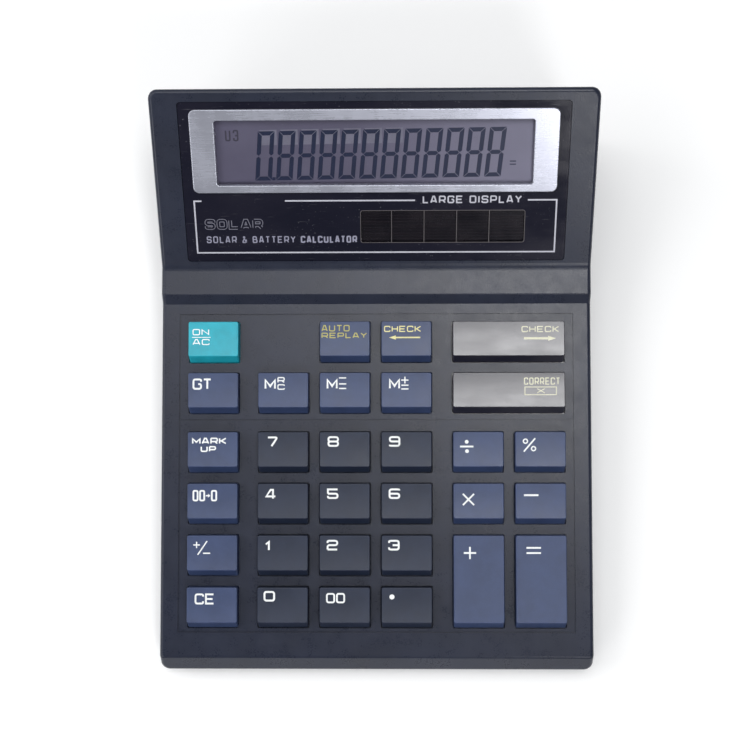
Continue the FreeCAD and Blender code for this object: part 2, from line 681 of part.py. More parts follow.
def dome_spots():
    spots = []
    for _, first, last, top, low in KEYS:
        x, y, _, _ = key_box(first, last, top, low)
        spots.append((x, f"{y} - key_slope/2"))
    return spots


def key_mat():
    sheet_plate = plate("mat_sheet", DECK, f"-{HALF} + mat_inset", f"{HALF} - mat_inset",
                        "front_posts + board_post + 1", "rear_posts - board_post - 1",
                        BOARD_TOP, "mat_thick", "corner_radius")
    shells, rooms = [], []
    for count, (x, y) in enumerate(dome_spots(), start=1):
        shells.append(cone(f"dome_{count}", DECK, x, y, MAT_TOP, "dome_foot", "dome_top",
                           f"{DOME_TOP} - {MAT_TOP}"))
        rooms.append(cone(f"dome_room_{count}", DECK, x, y, BOARD_TOP,
                          "dome_foot - dome_wall", "dome_top - dome_wall",
                          f"{DOME_TOP} - dome_roof - {BOARD_TOP}"))
    holes = [cylinder(f"mat_hole_{count}", DECK, x, "middle_posts", BOARD_TOP,
                      "board_post + 0.5", "mat_thick")
             for count, x in enumerate((POST_LEFT, POST_RIGHT), start=1)]
    whole = join("mat_whole", [sheet_plate] + shells)
    node("key_mat", cut("mat_cut", whole, group("mat_rooms", rooms + holes)))
    pills = [cylinder(f"pill_{count}", DECK, x, y, f"{DOME_TOP} - dome_roof - pill_thick",
                      "pill_radius", "pill_thick")
             for count, (x, y) in enumerate(dome_spots(), start=1)]
    node("contact_pills", group("pills", pills))


def board():
    body = plate("board", DECK, f"-{HALF} + board_inset", f"{HALF} - board_inset",
                 "board_inset", "board_rear", BOARD_LOW, "board_thick")
    drill(body, BOARD_POSTS, "board_shank + fit_gap", BOARD_LOW, "board_thick")
    drill(body, CASE_POSTS[:4], "case_post + 0.9", BOARD_LOW, "board_thick")
    return node("main_board", body)


def chip(name, x, y, wide, long, thick):
    return plate(name, DECK, f"{x} - {wide}/2", f"{x} + {wide}/2", f"{y} - {long}/2",
                 f"{y} + {long}/2", f"{BOARD_LOW} - {thick}", thick)


def components():
    """The parts on the underside of the board, over the deep end of the bottom case."""
    blob = cone("controller_blob", DECK, "-10", "92", f"{BOARD_LOW} - 1.6", "4.5", "8", "1.6")
    node("controller_blob", blob)
    parts = [chip("crystal", 18, 98, 8, 3.4, 2.6), chip("resistor_one", 30, 96, 3.2, 1.6, 0.6),
             chip("resistor_two", 30, 101, 3.2, 1.6, 0.6),
             chip("resistor_three", 37, 96, 3.2, 1.6, 0.6),
             chip("capacitor_chip", 37, 101, 3.2, 1.6, 1.1),
             chip("diode", 44, 98, 3.8, 1.8, 1.4),
             cylinder("storage_can", DECK, "-34", "100", f"{BOARD_LOW} - 5.4", "3.15", "5.4"),
             cylinder("filter_can", DECK, "-24", "106", f"{BOARD_LOW} - 5.4", "2.5", "5.4")]
    node("board_components", group("board_parts", parts))


# ---------------------------------------------------------------- display
def display():
    opening = ("-view_half", "view_half", "view_low", "view_high")
    sleeve = ("-view_half - bezel_sleeve", "view_half + bezel_sleeve",
              "view_low - bezel_sleeve", "view_high + bezel_sleeve")
    clear = [f"{formula} {sign} panel_gap"
             for formula, sign in zip(sleeve, ("-", "+", "-", "+"))]
    panel = plate("panel", HEAD, f"-{HALF} + panel_side + panel_gap",
                  f"{HALF} - panel_side - panel_gap", "panel_low + panel_gap",
                  "panel_high - panel_gap", RECESS, "panel_thick", "panel_corner")
    cut_plate(panel, *clear, RECESS, "panel_thick", "view_corner")
    cut_plate(panel, "solar_left", "solar_right", "solar_low", "solar_high", RECESS,
              "panel_thick", "solar_corner")
    node("display_panel", panel)

    bezel = plate("bezel", HEAD, "-bezel_half", "bezel_half", "bezel_low", "bezel_high",
                  "-panel_sink", "bezel_proud", "bezel_corner")
    tube = new_sketch(bezel, height=RECESS)
    rectangle(tube, *sleeve)
    pad(bezel, tube, "panel_thick")
    last = cut_plate(bezel, *opening, RECESS, "panel_thick + bezel_proud", "view_corner")
    crown = size("bezel_proud - panel_sink")

    def proud_rim(middle, run):
        return abs(middle.z - crown) < 0.01
    fillet(bezel, last, edges_where(last, proud_rim), "bezel_proud/3")
    node("display_bezel", bezel)

    window = plate("window", HEAD, *[f"{formula} {sign} fit_gap" for formula, sign
                                     in zip(sleeve, ("+", "-", "+", "-"))],
                   "-wall", "window_thick", "view_corner")
    node("display_window", window)
    solar = plate("solar_pane", HEAD, "solar_left + fit_gap", "solar_right - fit_gap",
                  "solar_low + fit_gap", "solar_high - fit_gap", RECESS, "panel_thick",
                  "solar_corner")
    node("solar_window", solar)
    cell = plate("cell", HEAD, "solar_left - cell_border", "solar_right + cell_border",
                 "solar_low - cell_border", "solar_high + cell_border",
                 f"{RECESS} - fit_gap/2 - cell_thick", "cell_thick")
    node("solar_cell", cell)

    films = (("lcd_front_film", "glass_low + 1", FRONT_GLASS, "film_thick"),
             ("lcd_front_glass", "glass_low", REAR_GLASS, "glass_thick"),
             ("lcd_rear_glass", "ledge_low", BACK_FILM, "glass_thick"),
             ("lcd_reflector", "glass_low + 1", f"{BACK_FILM} - film_thick", "film_thick"))
    for name, low, height, thick in films:
        node(name, plate(f"{name}_sheet", HEAD, "-glass_half", "glass_half", low,
                         "glass_high", height, thick))
    holder = plate("holder", HEAD, "-glass_half - fit_gap - holder_rim",
                   "glass_half + fit_gap + holder_rim",
                   "ledge_low - fit_gap - holder_rim", "glass_high + fit_gap + holder_rim",
                   HOLDER_LOW, f"{FILM_TOP} - {HOLDER_LOW}")
    ears = new_sketch(holder, height=HOLDER_LOW)
    for low in ("lcd_screw_low", "lcd_screw_high"):
        rectangle(ears, "-ear_half", "ear_half", f"{low} - ear_wide/2",
                  f"{low} + ear_wide/2")
    pad(holder, ears, "holder_back")
    cut_plate(holder, "-glass_half - fit_gap", "glass_half + fit_gap",
              "ledge_low - fit_gap", "glass_high + fit_gap", f"{BACK_FILM} - film_thick",
              "10")
    cut_plate(holder, "ribbon_middle - ribbon_wide/2 - 0.5",
              "ribbon_middle + ribbon_wide/2 + 0.5", "ledge_low - holder_rim - 1",
              "glass_low + 4", HOLDER_LOW, f"{BACK_FILM} - {HOLDER_LOW} + fit_gap")
    drill(holder, LCD_POSTS, "board_shank + fit_gap", HOLDER_LOW, "holder_back")
    node("lcd_holder", holder)


def ribbon():
    """The flat lead from the rear glass down to the board, in the deck frame."""
    body = new_body("ribbon", DECK)
    sketch = new_sketch(body, role="YZ_Plane")
    sketch.setExpression("AttachmentOffset.Base.z", tie("ribbon_middle"))
    rear_glass = f"({BACK_FILM})"

    def on_head(v, height):
        return (f"({CREASE} + ({v})*cos(head_tilt) - ({height})*sin(head_tilt))",
                f"(riser_rise + ({v})*sin(head_tilt) + ({height})*cos(head_tilt))")
    start_top = on_head("glass_low - 0.5", rear_glass)
    start_low = on_head("glass_low - 0.5", f"{rear_glass} - ribbon_thick")
    board_face = f"({BOARD_TOP})"
    lay = f"({board_face} + ribbon_thick)"

    def where_low(spot, level):
        return f"({spot[0]} - ({spot[1]} - {level})/tan(head_tilt))"
    polygon(sketch, [
        start_top, (where_low(start_top, lay), lay),
        (f"{where_low(start_top, lay)} - ribbon_land", lay),
        (f"{where_low(start_top, lay)} - ribbon_land", board_face),
        (where_low(start_low, board_face), board_face), start_low])
    pad(body, sketch, "ribbon_wide", both=True)
    node("lcd_ribbon", body)


# ---------------------------------------------------------------- power
def battery():
    """The AA cell lies across the case; its nub points to the right."""
    height = "(floor_wall + bay_gap + cell_radius)"
    lying = BOTTOM * Placement(Vector(0, size("battery_back"), size(height)),
                               Rotation(Vector(0, 1, 0), 90))
    can = cylinder("cell_can", lying, "0", "0", "-cell_long/2", "cell_radius", "cell_long")
    nub = cylinder("cell_nub", lying, "0", "0", "cell_long/2", "nub_radius", "nub_long")
    node("battery", join("cell_whole", [can, nub]))
    left, right, _, _ = bay_spots()
    low, high = f"{height} - contact_high/2", "contact_high"
    node("plus_contact", plate("plus_plate", BOTTOM, f"{right} - contact_thick", right,
                               "battery_back - contact_wide/2",
                               "battery_back + contact_wide/2", low, high))
    foot = plate("minus_plate", BOTTOM, left, f"{left} + contact_thick",
                 "battery_back - contact_wide/2", "battery_back + contact_wide/2", low, high)
    rise = size("spring_long - 1.9*spring_wire")
    path = Part.makeHelix(size("spring_pitch"), rise, size("spring_radius"), -size("spring_cone"))
    start = path.Edges[0].valueAt(path.Edges[0].FirstParameter)
    heading = path.Edges[0].tangentAt(path.Edges[0].FirstParameter)
    ring = Part.Wire([Part.makeCircle(size("spring_wire"), start, heading)])
    coil = add("Part::Feature", "spring_coil")
    coil.Shape = Part.Wire(path.Edges).makePipeShell([ring], True, True)
    coil.Placement = lying * Placement(
        Vector(0, 0, size("-cell_long/2 - spring_long + 0.8*spring_wire")), Rotation())
    node("minus_spring", join("spring_whole", [foot, coil]))


def lead_shape(frame, spots, radius, bend):
    """A round wire along straight runs joined by tangent arcs."""
    points = [frame.multVec(Vector(*spot)) for spot in spots]
    edges, start = [], points[0]
    for before, corner, after in zip(points, points[1:], points[2:]):
        back = (before - corner).normalize()
        ahead = (after - corner).normalize()
        half_turn = (math.pi - back.getAngle(ahead)) / 2
        reach = bend * math.tan(half_turn)
        enter, leave = corner + back * reach, corner + ahead * reach
        centre = corner + (back + ahead).normalize() * (bend / math.cos(half_turn))
        crown = centre + (corner - centre).normalize() * bend
        edges += [Part.LineSegment(start, enter).toShape(),
                  Part.Arc(enter, crown, leave).toShape()]
        start = leave
    edges.append(Part.LineSegment(start, points[-1]).toShape())
    heading = (points[1] - points[0]).normalize()
    ring = Part.Wire([Part.makeCircle(radius, points[0], heading)])
    return Part.Wire(edges).makePipeShell([ring], True, True)


def leads():
    """Two wires from the solar cell and two from the battery, soldered to the board."""
    radius, bend = size("lead_radius"), size("lead_bend")
    to_deck = DECK.inverse()
    solder = size(BOARD_LOW) - radius
    solar = []
    for x in (size("solar_right") - 2, size("solar_right") - 6):
        cell_low = size(f"{RECESS} - fit_gap/2 - cell_thick")
        pad_spot = to_deck.multVec(HEAD.multVec(Vector(x, 14, cell_low)))
        drop = to_deck.multVec(HEAD.multVec(Vector(x, 14, cell_low - 8)))
        spots = [pad_spot, drop, Vector(x, size("board_rear") + 6, solder),
                 Vector(x, size("board_rear") - 6, solder)]
        solar.append(lead_shape(DECK, spots, radius, bend))
    wires = add("Part::Feature", "solar_wires")
    wires.Shape = Part.makeCompound(solar)
    node("solar_leads", wires)
    left, right, front, _ = bay_spots()
    level = size(f"{BAY_TOP} + bay_wall") + radius + 0.3
    runs = []
    for x, side in ((size(left) - size("bay_wall") - radius, -1),
                    (size(right) + size("bay_wall") + radius, 1)):
        low = to_deck.multVec(BOTTOM.multVec(Vector(x, size("battery_back"), 8)))
        high = to_deck.multVec(BOTTOM.multVec(Vector(x, size("battery_back"), level)))
        spots = [low, high, Vector(x + side * 4, size("board_rear") + 6, solder - 0.6),
                 Vector(x + side * 6, size("board_rear") - 6, solder)]
        runs.append(lead_shape(DECK, spots, radius, bend))
    cell_wires = add("Part::Feature", "battery_wires")
    cell_wires.Shape = Part.makeCompound(runs)
    node("battery_leads", cell_wires)


def battery_door():
    """A sliding plate with side tongues and a ribbed finger grip on its outside."""
    _, _, _, back = bay_spots()
    body = plate("door", BOTTOM, "-door_half", "door_half", "door_front",
                 f"{BASE_REAR}/cos(deck_tilt) - edge_radius/4", "0", "door_thick")
    wings = new_sketch(body, height="tongue_low")
    rectangle(wings, "-door_half - tongue_out", "door_half + tongue_out", "door_front",
              f"{back} + bay_wall")
    pad(body, wings, "door_thick - tongue_low")
    for count in range(4):
        start = f"door_front + 6 + {count}*grip_step"
        cut_plate(body, "-grip_half", "grip_half", start, f"{start} + grip_wide", "0",
                  "grip_deep")
    node("battery_door", body)


# ---------------------------------------------------------------- screws and feet
def screws(name, frame, spots, seat, head, shank, length):
    """Pan screws driven upwards: the head lies under the seat and the shank above it."""
    members = []
    for count, (x, y) in enumerate(spots, start=1):
        top = cylinder(f"{name}_head_{count}", frame, x, y, f"{seat} - head_thick", head,
                       "head_thick")
        rod = cylinder(f"{name}_rod_{count}", frame, x, y, f"{seat} - head_thick/2", shank,
                       f"{length} + head_thick/2")
        slot = add("Part::Box", f"{name}_slot_{count}")
        slot.setExpression("Length", tie(f"{head}*1.3"))
        slot.setExpression("Width", tie(f"{head}*0.24"))
        slot.setExpression("Height", tie("head_thick/2"))
        slot.Placement = frame * Placement(
            Vector(size(f"{x} - {head}*0.65"), size(f"{y} - {head}*0.12"),
                   size(f"{seat} - head_thick")), Rotation())
        cross = add("Part::Box", f"{name}_cross_{count}")
        cross.setExpression("Length", tie(f"{head}*0.24"))
        cross.setExpression("Width", tie(f"{head}*1.3"))
        cross.setExpression("Height", tie("head_thick/2"))
        cross.Placement = frame * Placement(
            Vector(size(f"{x} - {head}*0.12"), size(f"{y} - {head}*0.65"),
                   size(f"{seat} - head_thick")), Rotation())
        whole = join(f"{name}_whole_{count}", [top, rod])
        marks = join(f"{name}_marks_{count}", [slot, cross])
        members.append(cut(f"{name}_{count}", whole, marks))
    return node(name, group(f"{name}_set", members))


def feet():
    members = [cylinder(f"foot_{count}", BOTTOM, x, y, "-foot_high", "foot_radius",
                        "foot_high + foot_pocket")
               for count, (x, y) in enumerate(FEET, start=1)]
    return node("rubber_feet", group("feet", members))


# ---------------------------------------------------------------- assembly
room = cavity()
upper_case(room)
bottom_case(room)
for name, *cells in KEYS:
    key_cap(name, *cells)
key_mat()
board()
components()
display()
ribbon()
battery()
leads()
battery_door()
screws("case_screws", BOTTOM, CASE_POSTS, "sink_deep", "case_head", "case_shank",
       "case_screw_long - 2*fit_gap - sink_deep")
screws("board_screws", DECK, BOARD_POSTS, BOARD_LOW, "board_head", "board_shank",
       "board_screw_long")
screws("lcd_screws", HEAD, LCD_POSTS, HOLDER_LOW, "board_head", "board_shank",
       "lcd_screw_long")
feet()
doc.recompute()

for item in doc.Objects:
    if "Invalid" in item.State or "Error" in item.State:
        raise RuntimeError(f"{item.Name} ({item.Label}) failed: {item.State}")
for name, thing in NODES.items():
    if thing.Shape.isNull() or not thing.Shape.isValid() or thing.Shape.Volume <= 0:
        raise RuntimeError(f"{name} has no valid solid")

os.makedirs("parts", exist_ok=True)
for name, thing in NODES.items():
    thing.Shape.exportStep(f"parts/{name}.step")
print(len(NODES), "nodes,", "case starts", round(DECK.Base.y, 3), "mm from the middle")
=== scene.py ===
import json
import math

import bpy
import numpy as np
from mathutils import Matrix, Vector


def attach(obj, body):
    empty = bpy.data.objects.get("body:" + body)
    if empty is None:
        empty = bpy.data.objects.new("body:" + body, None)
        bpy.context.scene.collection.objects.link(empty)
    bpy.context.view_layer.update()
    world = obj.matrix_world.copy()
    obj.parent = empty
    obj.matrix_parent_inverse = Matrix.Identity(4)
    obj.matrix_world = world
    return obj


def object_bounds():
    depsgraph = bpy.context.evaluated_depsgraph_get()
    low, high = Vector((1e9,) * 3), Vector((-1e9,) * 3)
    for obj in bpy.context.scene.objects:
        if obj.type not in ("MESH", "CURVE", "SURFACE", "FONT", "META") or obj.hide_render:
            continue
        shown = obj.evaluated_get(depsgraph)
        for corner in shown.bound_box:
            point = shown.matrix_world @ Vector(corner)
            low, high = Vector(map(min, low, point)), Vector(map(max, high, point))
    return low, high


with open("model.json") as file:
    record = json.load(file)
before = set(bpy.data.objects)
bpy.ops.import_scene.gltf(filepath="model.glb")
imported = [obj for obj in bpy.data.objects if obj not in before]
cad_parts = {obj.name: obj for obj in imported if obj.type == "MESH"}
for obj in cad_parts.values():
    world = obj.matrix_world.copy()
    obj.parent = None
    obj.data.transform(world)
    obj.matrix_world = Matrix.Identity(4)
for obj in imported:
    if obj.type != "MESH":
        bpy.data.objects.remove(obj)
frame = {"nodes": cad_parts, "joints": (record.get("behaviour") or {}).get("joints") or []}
cad_low, cad_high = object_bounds()
scene = bpy.context.scene
nodes = frame["nodes"]

MM = 0.001
KEY_FLANGE = 1.0        # how far a key's hidden flange stands out all round, in mm
KEY_TOP_DEPTH = 12.15   # front to back of a single key's top
TALL_TOP_DEPTH = 30.2
DISH = 0.22             # how far a key's top is hollowed at its middle
KEY_INK_LIFT = 0.012    # how far a legend's middle stands over that hollow
HEAD_TILT = math.radians(33.5)
PANEL_FRONT = 2.45      # from the crease to the panel's front edge, along the head
FILM_LEVEL = -2.1       # the display film below the head's face
GLASS_LEVEL = -0.2      # the panel and the solar window below the head's face


# ---------------------------------------------------------------- shader sums

class Wire:
    """A shader node's output. Sums on it add Math nodes; add() makes any other node."""

    def __init__(self, tree, socket=None):
        self.tree, self.socket = tree, socket

    def add(self, kind, settings=(), inputs=(), output=0):
        """A node of this kind: its settings first, then the values or wires of its inputs."""
        made = self.tree.nodes.new(kind)
        for name, value in dict(settings).items():
            setattr(made, name, value)
        for name, value in dict(inputs).items():
            if isinstance(value, Wire):
                self.tree.links.new(value.socket, made.inputs[name])
            else:
                made.inputs[name].default_value = value
        return Wire(self.tree, made.outputs[output] if len(made.outputs) else None)

    def sum(self, operation, a, b=0.0, c=0.0):
        return self.add("ShaderNodeMath", {"operation": operation}, {0: a, 1: b, 2: c})

    def __add__(self, other):
        return self.sum("ADD", self, other)

    def __sub__(self, other):
        return self.sum("SUBTRACT", self, other)

    def __rsub__(self, other):
        return self.sum("SUBTRACT", other, self)

    def __mul__(self, other):
        return self.sum("MULTIPLY", self, other)

    def __truediv__(self, other):
        return self.sum("DIVIDE", self, other)

    __radd__, __rmul__ = __add__, __mul__

    def between(self, low, high):
        """0 below low, 1 above high and a smooth rise between them."""
        return self.add("ShaderNodeMapRange", {"interpolation_type": "SMOOTHSTEP"},
                        {"Value": self, "From Min": low, "From Max": high})

    def noise(self, size_mm, detail=3.0, rough=0.55):
        """Cloudy noise whose blotches are about size_mm across, on this wire's coordinates."""
        return self.add("ShaderNodeTexNoise", (), {"Vector": self, "Scale": 1 / (size_mm * MM),
                                                   "Detail": detail, "Roughness": rough})

    def stretched(self, x, y, z, tilt=0.0):
        """These coordinates turned about X by tilt and scaled along each axis."""
        return self.add("ShaderNodeMapping", (),
                        {"Vector": self, "Rotation": (tilt, 0, 0), "Scale": (x, y, z)})

    def tint(self, low, high):
        """The colour low where this wire is 0 and high where it is 1."""
        return self.add("ShaderNodeMix", {"data_type": "RGBA"},
                        {0: self, 6: (*low, 1), 7: (*high, 1)}, 2)

    def over(self, under, colour):
        """This wire lays a colour over another colour's wire."""
        return self.add("ShaderNodeMix", {"data_type": "RGBA"},
                        {0: self, 6: under, 7: (*colour, 1)}, 2)


def start_finish(name):
    """A new material with one Principled shader: the material, its shader and the piece's coordinates."""
    made = bpy.data.materials.new(name)
    made.use_nodes = True
    tree = made.node_tree
    shader = next(n for n in tree.nodes if n.type == "BSDF_PRINCIPLED")
    place = Wire(tree).add("ShaderNodeTexCoord", (), (), 3)
    return made, shader, place


def feed(shader, **sockets):
    """Sets or links the shader's sockets; an underscore stands for the space in a socket's name."""
    for name, value in sockets.items():
        socket = shader.inputs[name.replace("_", " ")]
        if isinstance(value, Wire):
            value.tree.links.new(value.socket, socket)
        else:
            socket.default_value = (*value, 1) if isinstance(value, tuple) else value


def raised(height, depth_mm):
    """A bump of this height wire, depth_mm deep."""
    return height.add("ShaderNodeBump", (),
                      {"Height": height, "Distance": depth_mm * MM, "Strength": 1.0})


def lighter(colour, by):
    """The colour multiplied by this factor and held at white."""
    return tuple(min(1.0, c * by) for c in colour)


def moulded(name, colour, rough, grain_mm, grain_depth, blotch, dust=0.25, coat=0.0, spec=0.5):
    """Moulded plastic: fine eroded grain in the bump and the gloss, slow blotches, rubbed patches and
    specks of dust. Grain is how wide and how deep it is in mm; blotch and dust are how strong."""
    made, shader, place = start_finish(name)
    cloud = place.noise(17, 4)
    patch = place.noise(5, 3)
    grain = place.noise(grain_mm, 2, 0.6)
    specks = place.noise(0.5, 1).between(0.735, 0.77) * place.noise(9, 2).between(0.45, 0.7) * dust
    shade = (cloud * 0.6 + patch * 0.25 + grain * 0.15).between(0.36, 0.64)
    tinted = shade.tint(lighter(colour, 1 - blotch), lighter(colour, 1 + blotch))
    feed(shader,
         Base_Color=specks.over(tinted, (0.42, 0.42, 0.42)),
         Roughness=rough + (patch - 0.5) * 0.16 + (grain - 0.5) * 0.14 + specks * 0.3,
         Normal=raised(grain + patch * 0.3, grain_depth),
         Coat_Weight=coat, Specular_IOR_Level=spec)
    return made


def satin_metal(name, colour, rough, brushed, metallic=1.0, tarnish=0.2):
    """Metal or metallic paint: streaks along X, faint scratches and cloudy tarnish."""
    made, shader, place = start_finish(name)
    streaks = place.stretched(0.03, 1, 1).noise(0.25, 2)
    cloud = place.noise(14, 4)
    shade = (streaks * brushed + cloud * (1 - brushed)).between(0.3, 0.7)
    feed(shader,
         Base_Color=shade.tint(lighter(colour, 1 - tarnish), lighter(colour, 1 + tarnish * 0.6)),
         Roughness=rough + (cloud - 0.5) * 0.2 + (streaks - 0.5) * 0.12,
         Normal=raised(streaks, 0.006 * brushed), Metallic=metallic)
    return made


def see_through(name, tint, gloss_rough, strength):
    """A clear sheet: mostly see-through, with smears, fine scratches and a gloss that grows at glancing
    angles; strength is the gloss's least share."""
    made, shader, place = start_finish(name)
    tree = made.node_tree
    smear = place.stretched(0.5, 1, 1).noise(11, 4).between(0.42, 0.72)
    scratch = place.stretched(0.12, 2.4, 1).noise(0.9, 2).between(0.69, 0.76)
    feed(shader, Base_Color=(smear * 0.5 + scratch * 0.5).tint(tint, lighter(tint, 1.6)),
         Roughness=gloss_rough + smear * 0.16 + scratch * 0.2,
         Normal=raised(place.noise(26, 1), 0.04), Specular_IOR_Level=0.7)
    clear = place.add("ShaderNodeBsdfTransparent", (), {"Color": (0.93, 0.93, 0.95, 1)})
    facing = place.add("ShaderNodeLayerWeight", (), {"Blend": 0.18}, 0)
    share = facing * 0.8 + strength + smear * 0.02 + scratch * 0.05
    mixed = place.add("ShaderNodeMixShader", (), {0: share, 1: clear, 2: Wire(tree, shader.outputs[0])})
    tree.links.new(mixed.socket, next(n for n in tree.nodes if n.type == "OUTPUT_MATERIAL").inputs[0])
    return made


def key_plastic(name, colour, rough, spec, worn):
    """Key-cap plastic: eroded grain, a finger-polished patch that comes and goes, and faint pale scuffs."""
    made, shader, place = start_finish(name)
    cloud = place.noise(11, 3)
    patch = place.noise(3.2, 3)
    grain = place.noise(0.32, 2, 0.65)
    scuff = place.stretched(1, 0.25, 1).noise(1.6, 3).between(0.66, 0.78) * worn
    shade = (cloud * 0.5 + patch * 0.28 + grain * 0.22).between(0.34, 0.66)
    tinted = shade.tint(lighter(colour, 0.86), lighter(colour, 1.15))
    feed(shader,
         Base_Color=scuff.over(tinted, lighter(colour, 2.2)),
         Roughness=rough + (cloud - 0.5) * 0.22 + (grain - 0.5) * 0.12,
         Normal=raised(grain + patch * 0.4, 0.016), Specular_IOR_Level=spec)
    return made


def acrylic_key():
    """The two wide keys: near-black glossy plastic whose slightly wavy top gives a mottled sheen."""
    made, shader, place = start_finish("wide_key_finish")
    waves = place.stretched(0.55, 1, 1).noise(3.4, 4, 0.6)
    grain = place.noise(0.4, 2, 0.6)
    smear = place.stretched(0.35, 1, 1).noise(6, 4).between(0.35, 0.7)
    feed(shader,
         Base_Color=smear.tint((0.012, 0.011, 0.024), (0.03, 0.028, 0.04)),
         Roughness=0.3 + smear * 0.08 + (waves - 0.5) * 0.1,
         Normal=raised(waves + grain * 0.15, 0.01), Specular_IOR_Level=1.0, Coat_Weight=0.6,
         Coat_Roughness=0.3)
    return made


def panel_gloss():
    """The head's printed black panel: deep navy gloss with finger smears, hair scratches and dust."""
    made, shader, place = start_finish("panel_black_finish")
    smear = place.stretched(0.4, 1, 1, 0.4).noise(13, 5, 0.6)
    scratch = place.stretched(0.1, 3, 1, 0.2).noise(0.8, 2).between(0.68, 0.75)
    dust = place.noise(0.6, 1).between(0.72, 0.77) * place.noise(14, 3).between(0.4, 0.62)
    tinted = smear.between(0.3, 0.7).tint((0.0055, 0.0058, 0.0145), (0.0095, 0.009, 0.019))
    feed(shader,
         Base_Color=(dust * 0.35 + scratch * 0.12).over(tinted, (0.3, 0.3, 0.33)),
         Roughness=0.1 + smear.between(0.35, 0.7) * 0.1 + scratch * 0.15,
         Normal=raised(place.noise(9, 2), 0.01), Specular_IOR_Level=0.3)
    return made


def film_with_painted_reflection():
    """The display's grey backing film: faint upright fibres, a cloudy tone, and a painted reflection
    that lightens its colour towards the right."""
    made, shader, place = start_finish("lcd_film_painted_reflection_finish")
    cloud = place.noise(21, 3)
    fibre = place.stretched(1, 0.12, 0.12).noise(0.35, 2)
    # painted reflection: a ramp along X that lightens the film's colour from the middle towards the right
    across = place.add("ShaderNodeSeparateXYZ", (), {0: place}).between(-0.02, 0.056)
    shade = across * 0.7 + cloud * 0.22 + fibre * 0.08
    feed(shader,
         Base_Color=shade.tint((0.112, 0.1, 0.16), (0.33, 0.32, 0.4)),
         Roughness=0.5 + (fibre - 0.5) * 0.2 + (cloud - 0.5) * 0.1,
         Normal=raised(fibre, 0.008))
    return made


def solar_face():
    """The solar cell: near-black violet glass with faint collector lines running along it."""
    made, shader, place = start_finish("solar_dark_finish")
    bands = place.stretched(0.06, 1, 1).noise(1.1, 2)
    cloud = place.noise(8, 3)
    across = place.add("ShaderNodeSeparateXYZ", (), {0: place}, 1) / (0.9 * MM)
    line = across.sum("PINGPONG", across, 0.5).between(0.42, 0.47)
    shade = (bands * 0.5 + cloud * 0.5).between(0.35, 0.65)
    tinted = shade.tint((0.004, 0.003, 0.006), (0.011, 0.007, 0.01))
    feed(shader,
         Base_Color=(line * 0.25).over(tinted, (0.05, 0.04, 0.05)),
         Roughness=0.16 + cloud * 0.18, Normal=raised(bands, 0.01),
         Coat_Weight=cloud.between(0.3, 0.6) * 0.2, Specular_IOR_Level=0.25)
    return made


def printed(name, colour, rough=0.5, wear=0.3):
    """Printed ink: a thin film with pinholes, uneven cover and a slightly raised, dry surface."""
    made, shader, place = start_finish(name)
    cover = place.noise(0.55, 3, 0.6)
    cloud = place.noise(6, 2)
    thin = cover.between(0.52, 0.7) * wear
    tinted = cloud.between(0.3, 0.7).tint(lighter(colour, 0.93), lighter(colour, 1.05))
    feed(shader,
         Base_Color=thin.over(tinted, lighter(colour, 0.55)),
         Roughness=rough + (cover - 0.5) * 0.3, Normal=raised(cover, 0.01))
    return made


def can_label():
    """The battery's printed can: a plain band of blue wrap with metal ends and tiny scuffs."""
    made, shader, place = start_finish("battery_can_finish")
    streak = place.stretched(0.05, 1, 1).noise(0.5, 2)
    band = place.add("ShaderNodeSeparateXYZ", (), {0: place})
    wrap = (band + place.noise(9, 1) * 0.0004).between(-0.004, 0.0)
    tinted = streak.between(0.3, 0.7).tint((0.42, 0.42, 0.44), (0.62, 0.61, 0.6))
    feed(shader,
         Base_Color=(wrap * 0.85).over(tinted, (0.02, 0.05, 0.16)),
         Roughness=0.28 + (streak - 0.5) * 0.2, Metallic=1 - wrap * 0.6, Normal=raised(streak, 0.008))
    return made


def circuit_board():
    """Green board: solder mask over faint copper runs laid out by a brick pattern, with a glass-cloth
    bump."""
    made, shader, place = start_finish("board_green_finish")
    runs = place.add("ShaderNodeTexBrick", {"offset": 0.5},
                     {"Vector": place, "Scale": 1 / (9 * MM), "Mortar Size": 0.035, "Color1": (0, 0, 0, 1),
                      "Color2": (0, 0, 0, 1), "Mortar": (1, 1, 1, 1)}, 1)
    weave = place.stretched(1, 0.4, 1).noise(0.5, 2)
    tinted = weave.between(0.3, 0.7).tint((0.012, 0.09, 0.03), (0.02, 0.13, 0.045))
    feed(shader,
         Base_Color=(runs * 0.6).over(tinted, (0.05, 0.24, 0.09)),
         Roughness=0.32 + weave * 0.15, Normal=raised(runs + weave * 0.4, 0.03))
    return made


CASE = (0.0138, 0.0176, 0.034)
NUMBER = (0.0155, 0.0222, 0.0445)
FUNCTION = (0.0335, 0.0525, 0.124)
CLEAR = (0.012, 0.36, 0.455)

